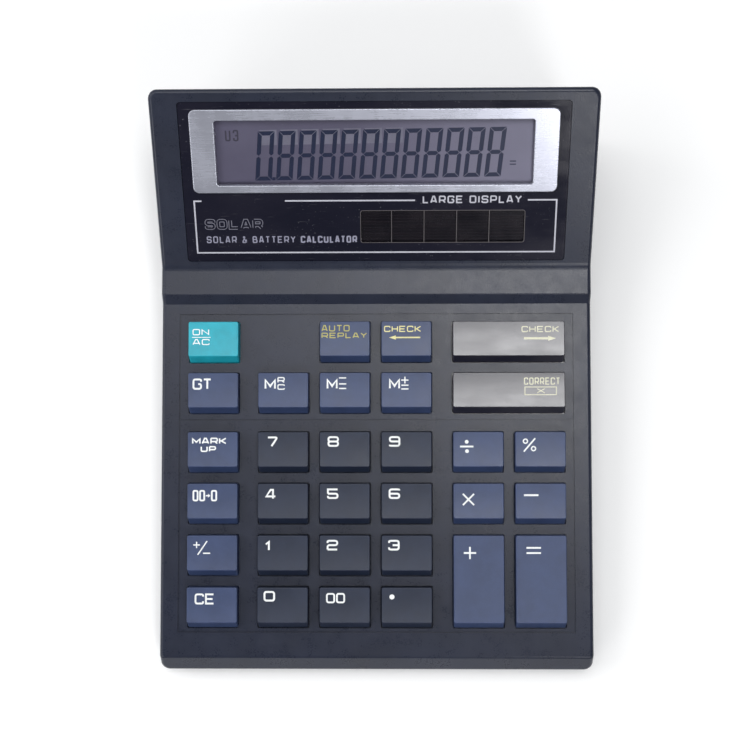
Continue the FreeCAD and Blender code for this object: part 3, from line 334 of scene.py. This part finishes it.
finishes = {
    "case_plastic": moulded("case_plastic_finish", CASE, 0.3, 0.5, 0.02, 0.12, 0.1, spec=0.37),
    "number_key": key_plastic("number_key_finish", NUMBER, 0.42, 0.4, 0.1),
    "function_key": key_plastic("function_key_finish", FUNCTION, 0.4, 0.5, 0.08),
    "clear_key": key_plastic("clear_key_finish", CLEAR, 0.42, 0.5, 0.06),
    "wide_key": acrylic_key(),
    "panel_black": panel_gloss(),
    "bezel_silver": satin_metal("bezel_silver_finish", (0.47, 0.48, 0.555), 0.27, 0.25, 0.7, 0.08),
    "clear_window": see_through("clear_window_finish", (0.01, 0.01, 0.015), 0.08, 0.012),
    "lcd_film": film_with_painted_reflection(),
    "lcd_glass": see_through("lcd_glass_finish", (0.05, 0.06, 0.06), 0.05, 0.05),
    "lcd_reflector": satin_metal("lcd_reflector_finish", (0.62, 0.64, 0.6), 0.4, 0.5),
    "holder_plastic": moulded("holder_plastic_finish", (0.5, 0.5, 0.48), 0.5, 0.6, 0.03, 0.08, 0.1),
    "ribbon_film": satin_metal("ribbon_film_finish", (0.36, 0.2, 0.06), 0.34, 0.8, 0.1, 0.25),
    "solar_dark": solar_face(),
    "board_green": circuit_board(),
    "blob_epoxy": moulded("blob_epoxy_finish", (0.012, 0.012, 0.013), 0.24, 1.6, 0.05, 0.2, 0.1, 0.3),
    "component_dark": moulded("component_dark_finish", (0.03, 0.03, 0.034), 0.42, 0.5, 0.03, 0.25),
    "mat_rubber": moulded("mat_rubber_finish", (0.42, 0.42, 0.4), 0.62, 0.7, 0.05, 0.08, 0.3),
    "pill_carbon": moulded("pill_carbon_finish", (0.015, 0.015, 0.016), 0.7, 0.3, 0.03, 0.3),
    "battery_can": can_label(),
    "contact_metal": satin_metal("contact_metal_finish", (0.66, 0.63, 0.56), 0.26, 0.7),
    "lead_plastic": moulded("lead_plastic_finish", (0.38, 0.02, 0.02), 0.4, 0.8, 0.02, 0.12, 0.1),
    "screw_steel": satin_metal("screw_steel_finish", (0.5, 0.5, 0.52), 0.3, 0.6),
    "foot_rubber": moulded("foot_rubber_finish", (0.02, 0.02, 0.021), 0.72, 0.5, 0.06, 0.2, 0.6),
}
inks = {
    "white": printed("legend_white", (0.82, 0.84, 0.84)),
    "gold": printed("legend_gold", (0.44, 0.4, 0.11), 0.42, 0.5),
    "pale_gold": printed("legend_pale_gold", (0.72, 0.66, 0.3), 0.42, 0.4),
    "cream": printed("legend_cream", (0.7, 0.69, 0.52), 0.45, 0.35),
    "frame": printed("panel_line_white", (0.5, 0.5, 0.57), 0.35, 0.3),
    "tag": printed("panel_tag_lilac", (0.27, 0.27, 0.36), 0.45, 0.4),
    "outline": printed("panel_outline_lilac", (0.17, 0.17, 0.22), 0.45, 0.4),
    "hairline": printed("solar_hairline", (0.085, 0.075, 0.08), 0.3, 0.5),
    "segment": printed("segment_navy", (0.011, 0.02, 0.062), 0.35, 0.1),
    "pale_box": printed("display_pale_box", (0.245, 0.24, 0.3), 0.5, 0.2),
    "faint": printed("segment_faint", (0.06, 0.055, 0.08), 0.4, 0.3),
}

for node in nodes.values():
    for kept in node.material_slots:
        kept.material = finishes[kept.material.name]


# ------------------------------------------------------- flat shapes and letters

CURVE_STEPS = 6         # points on each rounded corner
DOT_STEPS, RING_STEPS = 28, 24      # points round a dot and round a ring
SKIN = 0.03             # half the thickness of printing, which stands this far out of the surface
OVER = 0.004            # how much higher a stroke stands than the one it crosses
CROSSING = (-SKIN, SKIN + OVER)
SHARPEST = 0.25         # keeps the mitre short where a line doubles back on itself


def softened(points, radius, closed):
    """A line through the points with each corner P replaced by the curve (1-s)^2 A + 2s(1-s) P + s^2 B,
    where A and B lie on the runs beside P, radius away or half the run if that is less."""
    p = np.asarray(points, float)
    corner = p if closed else p[1:-1]
    before, after = (np.roll(p, 1, 0), np.roll(p, -1, 0)) if closed else (p[:-2], p[2:])

    def on_run(other):
        run = other - corner
        length = np.linalg.norm(run, axis=1, keepdims=True)
        return corner + run * np.minimum(radius / length, 0.49)

    s = np.linspace(0, 1, CURVE_STEPS)[None, :, None]
    a, b = on_run(before)[:, None], on_run(after)[:, None]
    curve = ((1 - s) ** 2 * a + 2 * s * (1 - s) * corner[:, None] + s ** 2 * b).reshape(-1, 2)
    return curve if closed else np.vstack([p[:1], curve, p[-1:]])


def strip(path, width, closed=False, cell=None, level=(-SKIN, SKIN)):
    """A solid strip carried along a flat path: its sides are P +/- width/2 * M, with M the mitred normal
    (n1 + n2) / (1 + n1.n2) of the runs beside P, held inside the cell. Its faces are at the two levels."""
    path = np.asarray(path, float)
    run = np.diff(np.vstack([path, path[:1]]) if closed else path, axis=0)
    run /= np.linalg.norm(run, axis=1, keepdims=True)
    normal = np.column_stack([-run[:, 1], run[:, 0]])
    if closed:
        first, second = np.roll(normal, 1, 0), normal
    else:
        first, second = np.vstack([normal[:1], normal]), np.vstack([normal, normal[-1:]])
    mitre = (first + second) / np.maximum(1 + (first * second).sum(1, keepdims=True), SHARPEST)
    sides = np.stack([path + mitre * width / 2, path - mitre * width / 2])
    if cell is not None:
        sides = np.clip(sides, cell[0], cell[1])
    n = len(path)
    corners = np.concatenate([sides, sides[::-1]])        # left top, right top, right low, left low
    high = np.repeat([level[1], level[0]], 2)[:, None, None] * np.ones((4, n, 1))
    verts = np.concatenate([corners, high], 2).transpose(1, 0, 2).reshape(-1, 3)
    here = 4 * np.arange(n if closed else n - 1)[:, None]
    there, k = (here + 4) % (4 * n), np.arange(4)[None, :]
    after = (k + 1) % 4
    faces = np.stack([here + k, here + after, there + after, there + k], -1).reshape(-1, 4).tolist()
    if not closed:
        faces += [[0, 3, 2, 1], [4 * n - 4, 4 * n - 3, 4 * n - 2, 4 * n - 1]]
    return verts, faces


def slab(outline, level=(-SKIN, SKIN)):
    """A solid plate with this anticlockwise outline: the outline at both levels, joined by a side a run."""
    outline = np.asarray(outline, float)
    n = len(outline)
    verts = np.vstack([np.column_stack([outline, np.full(n, z)]) for z in level])
    low = np.arange(n)
    after = np.roll(low, -1)
    sides = np.column_stack([low, after, after + n, low + n])
    return verts, [low[::-1].tolist(), (low + n).tolist()] + sides.tolist()


def box(left, right, low, high):
    """A rectangle's outline."""
    return [(left, low), (right, low), (right, high), (left, high)]


def circle(x, y, radius, steps):
    """Points (x + r cos t, y + r sin t) all the way round."""
    t = np.linspace(0, 2 * math.pi, steps, endpoint=False)
    return np.column_stack([x + radius * np.cos(t), y + radius * np.sin(t)])


def dot(x, y, radius):
    """A round plate."""
    return slab(circle(x, y, radius, DOT_STEPS))


def ring(x, y, radius, thick):
    """A small round ring: a strip carried along a circle."""
    return strip(circle(x, y, radius, RING_STEPS), thick, True)


# Each letter is one or more strokes on an 8 by 8 square: "line" has sharp corners, "bend" soft ones and
# "loop" soft ones all round; a pair of digits is a corner, across and then up.
LETTERS = {
    "0": "loop 00 80 88 08", "1": "line 05 58 50", "2": "bend 06 08 88 84 04 00/line 00 80",
    "3": "bend 06 08 88 84/bend 84 80 00 02/line 34 84", "4": "line 60 68 48 02 82",
    "5": "line 88 08 04/bend 04 84 80 00 02", "6": "bend 87 88 08 00 80 84 04", "7": "bend 08 88 30",
    "8": "loop 00 80 84 04/loop 04 84 88 08", "9": "bend 01 00 80 88 08 04 84",
    "A": "line 00 38 58 80/line 12 72", "B": "line 08 00/bend 08 78 74 04/bend 04 84 80 00",
    "C": "bend 86 88 08 00 80 82", "D": "line 08 00/bend 08 88 80 00", "E": "line 88 08 00 80/line 04 74",
    "G": "bend 86 88 08 00 80 84 54", "H": "line 00 08/line 80 88/line 04 84", "I": "line 00 08",
    "K": "line 00 08/line 04 24 88/line 24 80", "L": "line 08 00 80", "M": "line 00 08 42 88 80",
    "N": "line 00 08 80 88", "O": "loop 00 80 88 08", "P": "line 00 08/bend 08 88 83 03",
    "R": "line 00 08/bend 08 88 83 03/line 53 80", "S": "bend 86 88 08 04 84 80 00 02",
    "T": "line 08 88/line 40 48", "U": "bend 08 00 80 88", "X": "line 00 88/line 08 80",
    "Y": "line 08 44 88/line 44 40", "&": "bend 80 18 58 01 00 60 84", "+": "line 04 84/line 40 48",
}
WIDTHS = {"I": 0.24, "1": 0.62, "L": 0.86, "T": 0.92, "M": 1.12, " ": 0.45}     # the others are 1
GRID = 8                # squares along each side of a letter's cell
BEND = 0.22             # a soft corner's radius as a share of the cell
SLIM = 1.5              # a letter narrower than this many strokes is one upright in its middle


def letter(char, left, low, width, height, weight, lift=0.0, bottom=-SKIN):
    """One letter's strips in a cell; each stroke stands a hair higher than the one before it."""
    made = []
    corner = np.array([left, low])
    size = np.array([width, height])
    for order, stroke in enumerate(LETTERS[char].split("/")):
        form, *places = stroke.split()
        points = np.array([[int(p[0]), int(p[1])] for p in places], float) / GRID
        points = corner + weight / 2 + points * (size - weight)
        if width < weight * SLIM:
            points[:, 0] = left + width / 2
        closed = form == "loop"
        path = points if form == "line" else softened(points, min(width, height) * BEND, closed)
        made.append(strip(path, weight, closed, (corner, corner + size),
                          (bottom, SKIN + lift + OVER * order)))
    return made


def word(text, left, top, width, height, weight, gap=0.4, lift=0.0, bottom=-SKIN):
    """A word that fills the given width and hangs from top; letters share the room by their usual widths."""
    shares = np.array([WIDTHS.get(c, 1.0) for c in text])
    unit = (width - gap * (len(text) - 1)) / shares.sum()
    lefts = left + np.concatenate([[0], np.cumsum(shares * unit + gap)[:-1]])
    return [part for c, x, share in zip(text, lefts, shares) if c != " "
            for part in letter(c, x, top - height, share * unit, height, weight, lift, bottom)]


def rule(start, end, y, thick, level=(-SKIN, SKIN)):
    """A straight line along X."""
    return strip([(start, y), (end, y)], thick, level=level)


def arrow(tail, tip, y, thick, head_length, head_width):
    """A straight arrow along X: a shaft and a three-cornered head."""
    way = math.copysign(1, tip - tail)
    neck = tip - way * head_length
    head = [(neck, y - head_width / 2), (tip, y), (neck, y + head_width / 2)]
    return [rule(tail, neck + way * 0.1, y, thick),
            slab(head if way > 0 else head[::-1], CROSSING)]


def make_piece(name, parts, place, material, body):
    """Joins solids given in flat coordinates (mm), sets them in place and rides the piece on a body."""
    counts = np.cumsum([0] + [len(v) for v, _ in parts])
    flat = np.vstack([v for v, _ in parts])
    faces = [[i + start for i in f] for (_, fs), start in zip(parts, counts) for f in fs]
    mesh = bpy.data.meshes.new(name)
    mesh.from_pydata((place(flat) * MM).tolist(), [], faces)
    mesh.update()
    mesh.materials.append(material)
    made = bpy.data.objects.new(name, mesh)
    scene.collection.objects.link(made)
    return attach(made, body)


# ------------------------------------------------------------------ key legends

press_axis = np.array(next(j["axis"] for j in frame["joints"] if j["name"].endswith("_press")), float)
deck_up = press_axis / np.linalg.norm(press_axis) * np.sign(press_axis[2])
deck_back = np.array([0, deck_up[2], -deck_up[1]])


def points_of(node):
    """A CAD node's vertices in millimetres, as one array."""
    flat = np.zeros(len(node.data.vertices) * 3, np.float32)
    node.data.vertices.foreach_get("co", flat)
    return flat.reshape(-1, 3).astype(float) / MM


def on_key(node, depth):
    """Places flat shapes on a key's top: u from its left edge, v from its rear edge (negative is forwards).
    The hollow's depth under them is 4 * DISH * t * (1 - t), with t the share of the way to the front."""
    points = points_of(node)
    left = points[:, 0].min() + KEY_FLANGE
    rear = (points @ deck_back).max() - KEY_FLANGE
    high = (points @ deck_up).max()

    def place(flat):
        share = np.clip(-flat[:, 1] / depth, 0, 1)
        level = high - 4 * DISH * share * (1 - share) + flat[:, 2] + KEY_INK_LIFT
        return (np.outer(left + flat[:, 0], (1, 0, 0)) + np.outer(rear + flat[:, 1], deck_back)
                + np.outer(level, deck_up))

    return place


BOLD, FINE = 0.66, 0.36
legends = {
    "on_ac": ("white", word("ON", 1.43, -2.54, 5.85, 2.2, FINE, 0.5)
              + word("AC", 1.46, -6.08, 6.0, 2.13, FINE, 0.5) + [rule(1.27, 7.81, -5.5, 0.26)]),
    "grand_total": ("white", word("GT", 1.55, -1.97, 6.73, 3.95, BOLD, 0.35)),
    "memory_recall": ("white", word("M", 2.23, -2.02, 4.0, 3.85, BOLD) + word("R", 6.75, -1.5, 2.6, 2.1, 0.42)
                      + word("C", 6.75, -4.0, 2.6, 2.0, 0.42)),
    "memory_minus": ("white", word("M", 2.4, -2.0, 3.9, 3.85, BOLD)
                     + [rule(6.75, 9.3, y, 0.45) for y in (-1.85, -3.95, -5.55)]),
    "memory_plus": ("white", word("M", 2.65, -2.0, 3.9, 3.85, BOLD)
                    + [strip([(8.25, -1.45), (8.25, -3.85)], 0.45)]
                    + [rule(7.0, 9.5, y, 0.45, CROSSING) for y in (-2.65, -4.45, -5.75)]),
    "mark_up": ("white", word("MARK", 1.52, -1.95, 12.15, 2.3, 0.5, 0.35)
                + word("UP", 4.53, -4.89, 5.46, 2.1, 0.5, 0.4)),
    "seven": ("white", word("7", 3.2, -1.58, 3.95, 3.7, BOLD)),
    "eight": ("white", word("8", 2.75, -1.5, 4.0, 3.7, BOLD)),
    "nine": ("white", word("9", 2.6, -1.5, 4.0, 3.7, BOLD)),
    "four": ("white", word("4", 2.5, -1.85, 4.0, 3.7, BOLD)),
    "five": ("white", word("5", 2.6, -1.7, 4.0, 3.65, BOLD)),
    "six": ("white", word("6", 2.5, -1.7, 4.0, 3.65, BOLD)),
    "one": ("white", word("1", 2.6, -1.6, 2.3, 3.8, BOLD)),
    "two": ("white", word("2", 2.5, -1.5, 4.0, 3.7, BOLD)),
    "three": ("white", word("3", 2.3, -1.5, 4.0, 3.7, BOLD)),
    "zero": ("white", word("0", 2.17, -1.19, 4.02, 3.65, BOLD)),
    "double_zero": ("white", word("00", 2.31, -1.86, 6.62, 3.55, 0.6, 0.35)),
    "point": ("white", [dot(3.6, -3.2, 0.88)]),
    "clear_entry": ("white", word("CE", 2.8, -2.08, 6.9, 3.8, 0.62, 0.4)),
    "sign": ("white", word("+", 2.0, -1.95, 2.75, 2.7, 0.44)
             + [strip([(3.75, -6.75), (7.05, -1.95)], 0.44, level=(-SKIN, SKIN + 2.5 * OVER)),
                rule(5.6, 8.15, -6.2, 0.44)]),
    "shift_digit": ("white", word("00", 1.83, -2.22, 4.4, 3.95, 0.6, 0.25)
                    + word("0", 8.3, -2.22, 2.15, 3.95, 0.6) + arrow(6.45, 8.1, -4.2, 0.42, 0.85, 1.35)),
    "percent": ("white", [strip([(2.95, -6.95), (6.95, -2.3)], 0.56),
                          ring(3.55, -3.3, 0.72, 0.46), ring(6.35, -5.9, 0.72, 0.46)]),
    "divide": ("white", [rule(2.36, 7.05, -5.15, 0.62), dot(4.7, -3.5, 0.66), dot(4.8, -6.75, 0.66)]),
    "multiply": ("white", word("X", 2.98, -3.29, 4.5, 4.5, 0.6)),
    "minus": ("white", [rule(2.9, 7.95, -4.05, 0.66)]),
    "plus": ("white", word("+", 3.2, -3.62, 4.9, 4.84, 0.62)),
    "equals": ("white", [rule(3.64, 8.66, y, 0.6) for y in (-4.25, -6.05)]),
    "auto_replay": ("gold", word("AUTO", 0.6, -1.25, 9.9, 2.25, FINE, 0.5)
                    + word("REPLAY", 0.6, -3.95, 16.0, 1.95, FINE, 0.5)),
    "check_back": ("pale_gold", word("CHECK", 0.94, -1.6, 13.0, 2.15, FINE, 0.45)
                   + arrow(13.7, 2.7, -5.7, 0.5, 2.4, 1.5)),
    "check_forward": ("cream", word("CHECK", 24.1, -1.78, 13.1, 2.15, FINE, 0.45)
                      + arrow(24.94, 36.13, -6.1, 0.75, 2.7, 1.75)),
    "correct": ("cream", word("CORRECT", 24.84, -1.84, 12.55, 2.5, 0.34, 0.4)
                + [strip(box(25.15, 36.15, -7.85, -5.15), 0.3, True)]
                + word("X", 29.3, -5.6, 2.9, 1.75, 0.28)),
}
for joint in frame["joints"]:
    name = joint["name"].removesuffix("_press")
    if name in legends:
        ink, parts = legends[name]
        depth = TALL_TOP_DEPTH if name in ("plus", "equals") else KEY_TOP_DEPTH
        make_piece("legend_" + name, parts, on_key(nodes["key_" + name], depth), inks[ink], joint["child"])


# ------------------------------------------------------------- printing on the head

head_back = np.array([0, math.cos(HEAD_TILT), math.sin(HEAD_TILT)])
head_up = np.array([0, -math.sin(HEAD_TILT), math.cos(HEAD_TILT)])
panel_points = points_of(nodes["display_panel"])
head_zero = (panel_points @ head_back).min() - PANEL_FRONT
head_face = (panel_points @ head_up).max() - GLASS_LEVEL


def on_head(level):
    """Places flat shapes on the sloping head: u from its middle, v up the slope from the crease."""
    def place(flat):
        return (np.outer(flat[:, 0], (1, 0, 0)) + np.outer(head_zero + flat[:, 1], head_back)
                + np.outer(head_face + level + flat[:, 2], head_up))

    return place


LINE = 0.52             # width of the panel's pale outline
line_low, line_high, line_side = 5.55, 24.7, 62.75
frame_parts = [
    strip([(-60.2, line_high), (-line_side, line_high), (-line_side, line_low), (line_side, line_low),
           (line_side, line_high), (52.8, line_high)], LINE),
    rule(-31.2, 13.85, line_high, LINE),
]
on_panel = on_head(GLASS_LEVEL)
make_piece("panel_frame_line", frame_parts, on_panel, inks["frame"], "case")
make_piece("panel_heading", word("LARGE DISPLAY", 16.5, 26.35, 34.2, 2.75, 0.48, 0.62), on_panel,
           inks["frame"], "case")
make_piece("panel_tag", word("SOLAR & BATTERY", -59.25, 11.7, 31.2, 2.5, 0.38, 0.6)
           + word("CALCULATOR", -26.2, 11.75, 19.8, 2.6, 0.52, 0.45), on_panel, inks["tag"], "case")

BADGE_LEFT, BADGE_LOW, BADGE_PITCH = -59.6, 14.2, 4.18
BADGE_WIDE, BADGE_HIGH, BADGE_BOLD = 3.75, 3.95, 1.2
BADGE_RIM = 0.24        # width of each outlined letter's edge


def badge(rim, lift):
    """The outlined word's letters, drawn in from their edges by rim all round and raised by lift."""
    wide, high, bold = (full - 2 * rim for full in (BADGE_WIDE, BADGE_HIGH, BADGE_BOLD))
    lefts = BADGE_LEFT + BADGE_PITCH * np.arange(5) + rim
    return [part for char, left in zip("SOLAR", lefts)
            for part in letter(char, left, BADGE_LOW + rim, wide, high, bold, lift)]


make_piece("panel_badge_edge", badge(0.0, 0.0), on_panel, inks["outline"], "case")
make_piece("panel_badge_fill", badge(BADGE_RIM, 3.5 * OVER), on_panel, finishes["panel_black"], "case")

# The solar window's edge and the lines between its five cells.
cell_left, cell_right, cell_low, cell_high, cell_round = -5.1, 52.0, 9.15, 21.0, 0.9
edge = softened(box(cell_left, cell_right, cell_low, cell_high), cell_round, True)
cell_lines = [strip([(x, cell_low), (x, cell_high)], 0.26, level=CROSSING)
              for x in (5.68, 17.01, 28.33, 39.64)]
make_piece("solar_edge_lines", [strip(edge, 0.22, True)] + cell_lines, on_panel, inks["hairline"], "case")


# ---------------------------------------------------------------- display figures

FIGURE_WIDE, FIGURE_HIGH, FIGURE_PITCH = 5.75, 17.5, 7.17
FIRST_LEFT, FIGURE_LOW = -41.45, 32.0
SEGMENT = 1.48          # width of a figure's bars
GAP = 0.13              # the slit beside every mitre
POINT_SIDE = 1.15
LEAN = math.tan(math.radians(6.3))
ROW_TURN, ROW_MIDDLE = math.radians(0.8), (2.0, 41.0)   # the glass sits a little crooked in its holder
FILM_INK = (-0.005, 0.02)           # the figures' faces below and above the film
PALE_INK = (-0.005, 0.006)          # the pale boxes lie under the figures


def leaning(shapes, level):
    """Solid plates for outlines given from the figures' foot: each point leans to (x + LEAN * y, y), and the
    whole row is then turned by ROW_TURN about its middle."""
    turn = np.array([[math.cos(ROW_TURN), math.sin(ROW_TURN)], [-math.sin(ROW_TURN), math.cos(ROW_TURN)]])
    made = []
    for outline in shapes:
        p = np.array(outline, float)
        p = np.column_stack([p[:, 0] + LEAN * p[:, 1], FIGURE_LOW + p[:, 1]]) - ROW_MIDDLE
        made.append(slab(p @ turn + ROW_MIDDLE, level))
    return made


def mirrored(outline, axis, centre):
    """An outline turned over about centre: a point at c goes to 2 * centre - c, and the order is reversed so
    that it still runs anticlockwise."""
    made = outline[::-1].copy()
    made[:, axis] = 2 * centre - made[:, axis]
    return made


def figure(left, middle=True):
    """A seven-segment figure's outlines: four standing and two lying bars mitred at the corners, each with a
    straight outer edge, and a pointed bar across the middle."""
    t, g = SEGMENT, GAP
    right, half = left + FIGURE_WIDE, FIGURE_HIGH / 2
    foot = np.array([(left + g, 0), (right - g, 0), (right - t - g, t), (left + t + g, t)])
    post = np.array([(left, g), (left + t, t + g), (left + t, half - t / 2 - g), (left + t / 2, half - g),
                     (left, half - t / 2)])
    bar = np.array([(left + t / 2 + g, half), (left + t + g, half - t / 2), (right - t - g, half - t / 2),
                    (right - t / 2 - g, half), (right - t - g, half + t / 2), (left + t + g, half + t / 2)])
    lower = [foot, post, mirrored(post, 0, (left + right) / 2)]
    upper = [mirrored(shape, 1, half) for shape in lower]
    return lower + upper + ([bar] if middle else [])


on_film = on_head(FILM_LEVEL)
lefts = FIRST_LEFT + FIGURE_PITCH * np.arange(12)
lit = [shape for i, left in enumerate(lefts) for shape in figure(left, i > 0)]
point_left = lefts[0] + FIGURE_WIDE + 0.1
lit.append(box(point_left, point_left + POINT_SIDE, 0, POINT_SIDE))
make_piece("display_figures", leaning(lit, FILM_INK), on_film, inks["segment"], "case")
# Pale boxes lie behind the upper halves of the first seven figures and lean a little less than they do.
PALE_WIDE, PALE_LOW, PALE_HIGH, PALE_BACK = 5.8, 12.6, 17.95, 0.5
pale = [[(x, PALE_LOW), (x + PALE_WIDE, PALE_LOW), (x + PALE_WIDE - PALE_BACK, PALE_HIGH),
         (x - PALE_BACK, PALE_HIGH)] for x in lefts[:7] + 1.05]
make_piece("display_pale_boxes", leaning(pale, PALE_INK), on_film, inks["pale_box"], "case")
make_piece("display_marks", word("U3", -50.9, 49.5, 4.6, 4.0, 0.55, 0.8, FILM_INK[1] - SKIN, FILM_INK[0]),
           on_film, inks["faint"], "case")
make_piece("display_equals", [rule(46.3, 48.4, y, 0.4, FILM_INK) for y in (36.9, 38.0)], on_film,
           inks["segment"], "case")


# -------------------------------------------------------------- floor, light, camera

def pale_floor():
    """A flat square of floor at the object's foot, as a 2 by 2 grid (x, y, foot)."""
    half = 3.0
    x, y = np.meshgrid([-half, half], [-half, half])
    corners = np.column_stack([x.ravel(), y.ravel(), np.full(4, cad_low.z)])
    mesh = bpy.data.meshes.new("floor")
    mesh.from_pydata(corners.tolist(), [], [[0, 1, 3, 2]])
    made, shader, place = start_finish("floor_finish")
    feed(shader, Base_Color=place.noise(400, 2).tint((0.9, 0.9, 0.9), (0.93, 0.93, 0.93)),
         Roughness=0.8, Emission_Color=(1.0, 1.0, 1.0), Emission_Strength=0.06)
    mesh.materials.append(made)
    floor = bpy.data.objects.new("floor", mesh)
    scene.collection.objects.link(floor)


def softbox(name, at, aim, size, radiance):
    """A white rectangular lamp at a point, turned to aim, whose face has this brightness."""
    lamp = bpy.data.lights.new(name, "AREA")
    lamp.shape, lamp.size, lamp.size_y = "RECTANGLE", *size
    lamp.energy = radiance * math.pi * size[0] * size[1]
    made = bpy.data.objects.new(name, lamp)
    made.location = at
    made.rotation_euler = (Vector(aim) - Vector(at)).to_track_quat("-Z", "Y").to_euler()
    scene.collection.objects.link(made)


pale_floor()
world = bpy.data.worlds.new("studio")
world.use_nodes = True
sky = world.node_tree.nodes["Background"]
sky.inputs["Color"].default_value = (0.93, 0.96, 1.0, 1)
sky.inputs["Strength"].default_value = 0.24
scene.world = world
softbox("ceiling", (-0.08, 0.36, 1.5), (-0.08, 0.1, 0), (0.9, 0.75), 2.6)
softbox("rear_left", (-0.65, 1.05, 1.44), (0, 0, 0), (1.8, 1.1), 1.0)
softbox("left", (-1.4, 0.1, 1.0), (0, 0, 0), (1.0, 1.4), 2.2)
softbox("right_rear", (0.27, 0.1, 1.5), (0.03, 0, 0), (0.55, 0.42), 7.0)
softbox("front_left", (-0.85, -0.95, 0.75), (-0.04, 0.03, 0.03), (0.7, 0.5), 3.6)
softbox("front_right", (0.43, -0.953, 1.073), (0.06, 0.08, 0.05), (0.34, 0.36), 12.8)
scene.view_settings.view_transform = "Standard"

eye = bpy.data.cameras.new("eye")
eye.lens, eye.sensor_width = 66.52, 36.0
camera = bpy.data.objects.new("eye", eye)
camera.location = (0.009369, -0.05306, 0.507519)
camera.rotation_mode = "ZYX"
camera.rotation_euler = [math.radians(a) for a in (6.867, 1.132, -0.11)]
scene.collection.objects.link(camera)
scene.camera = camera
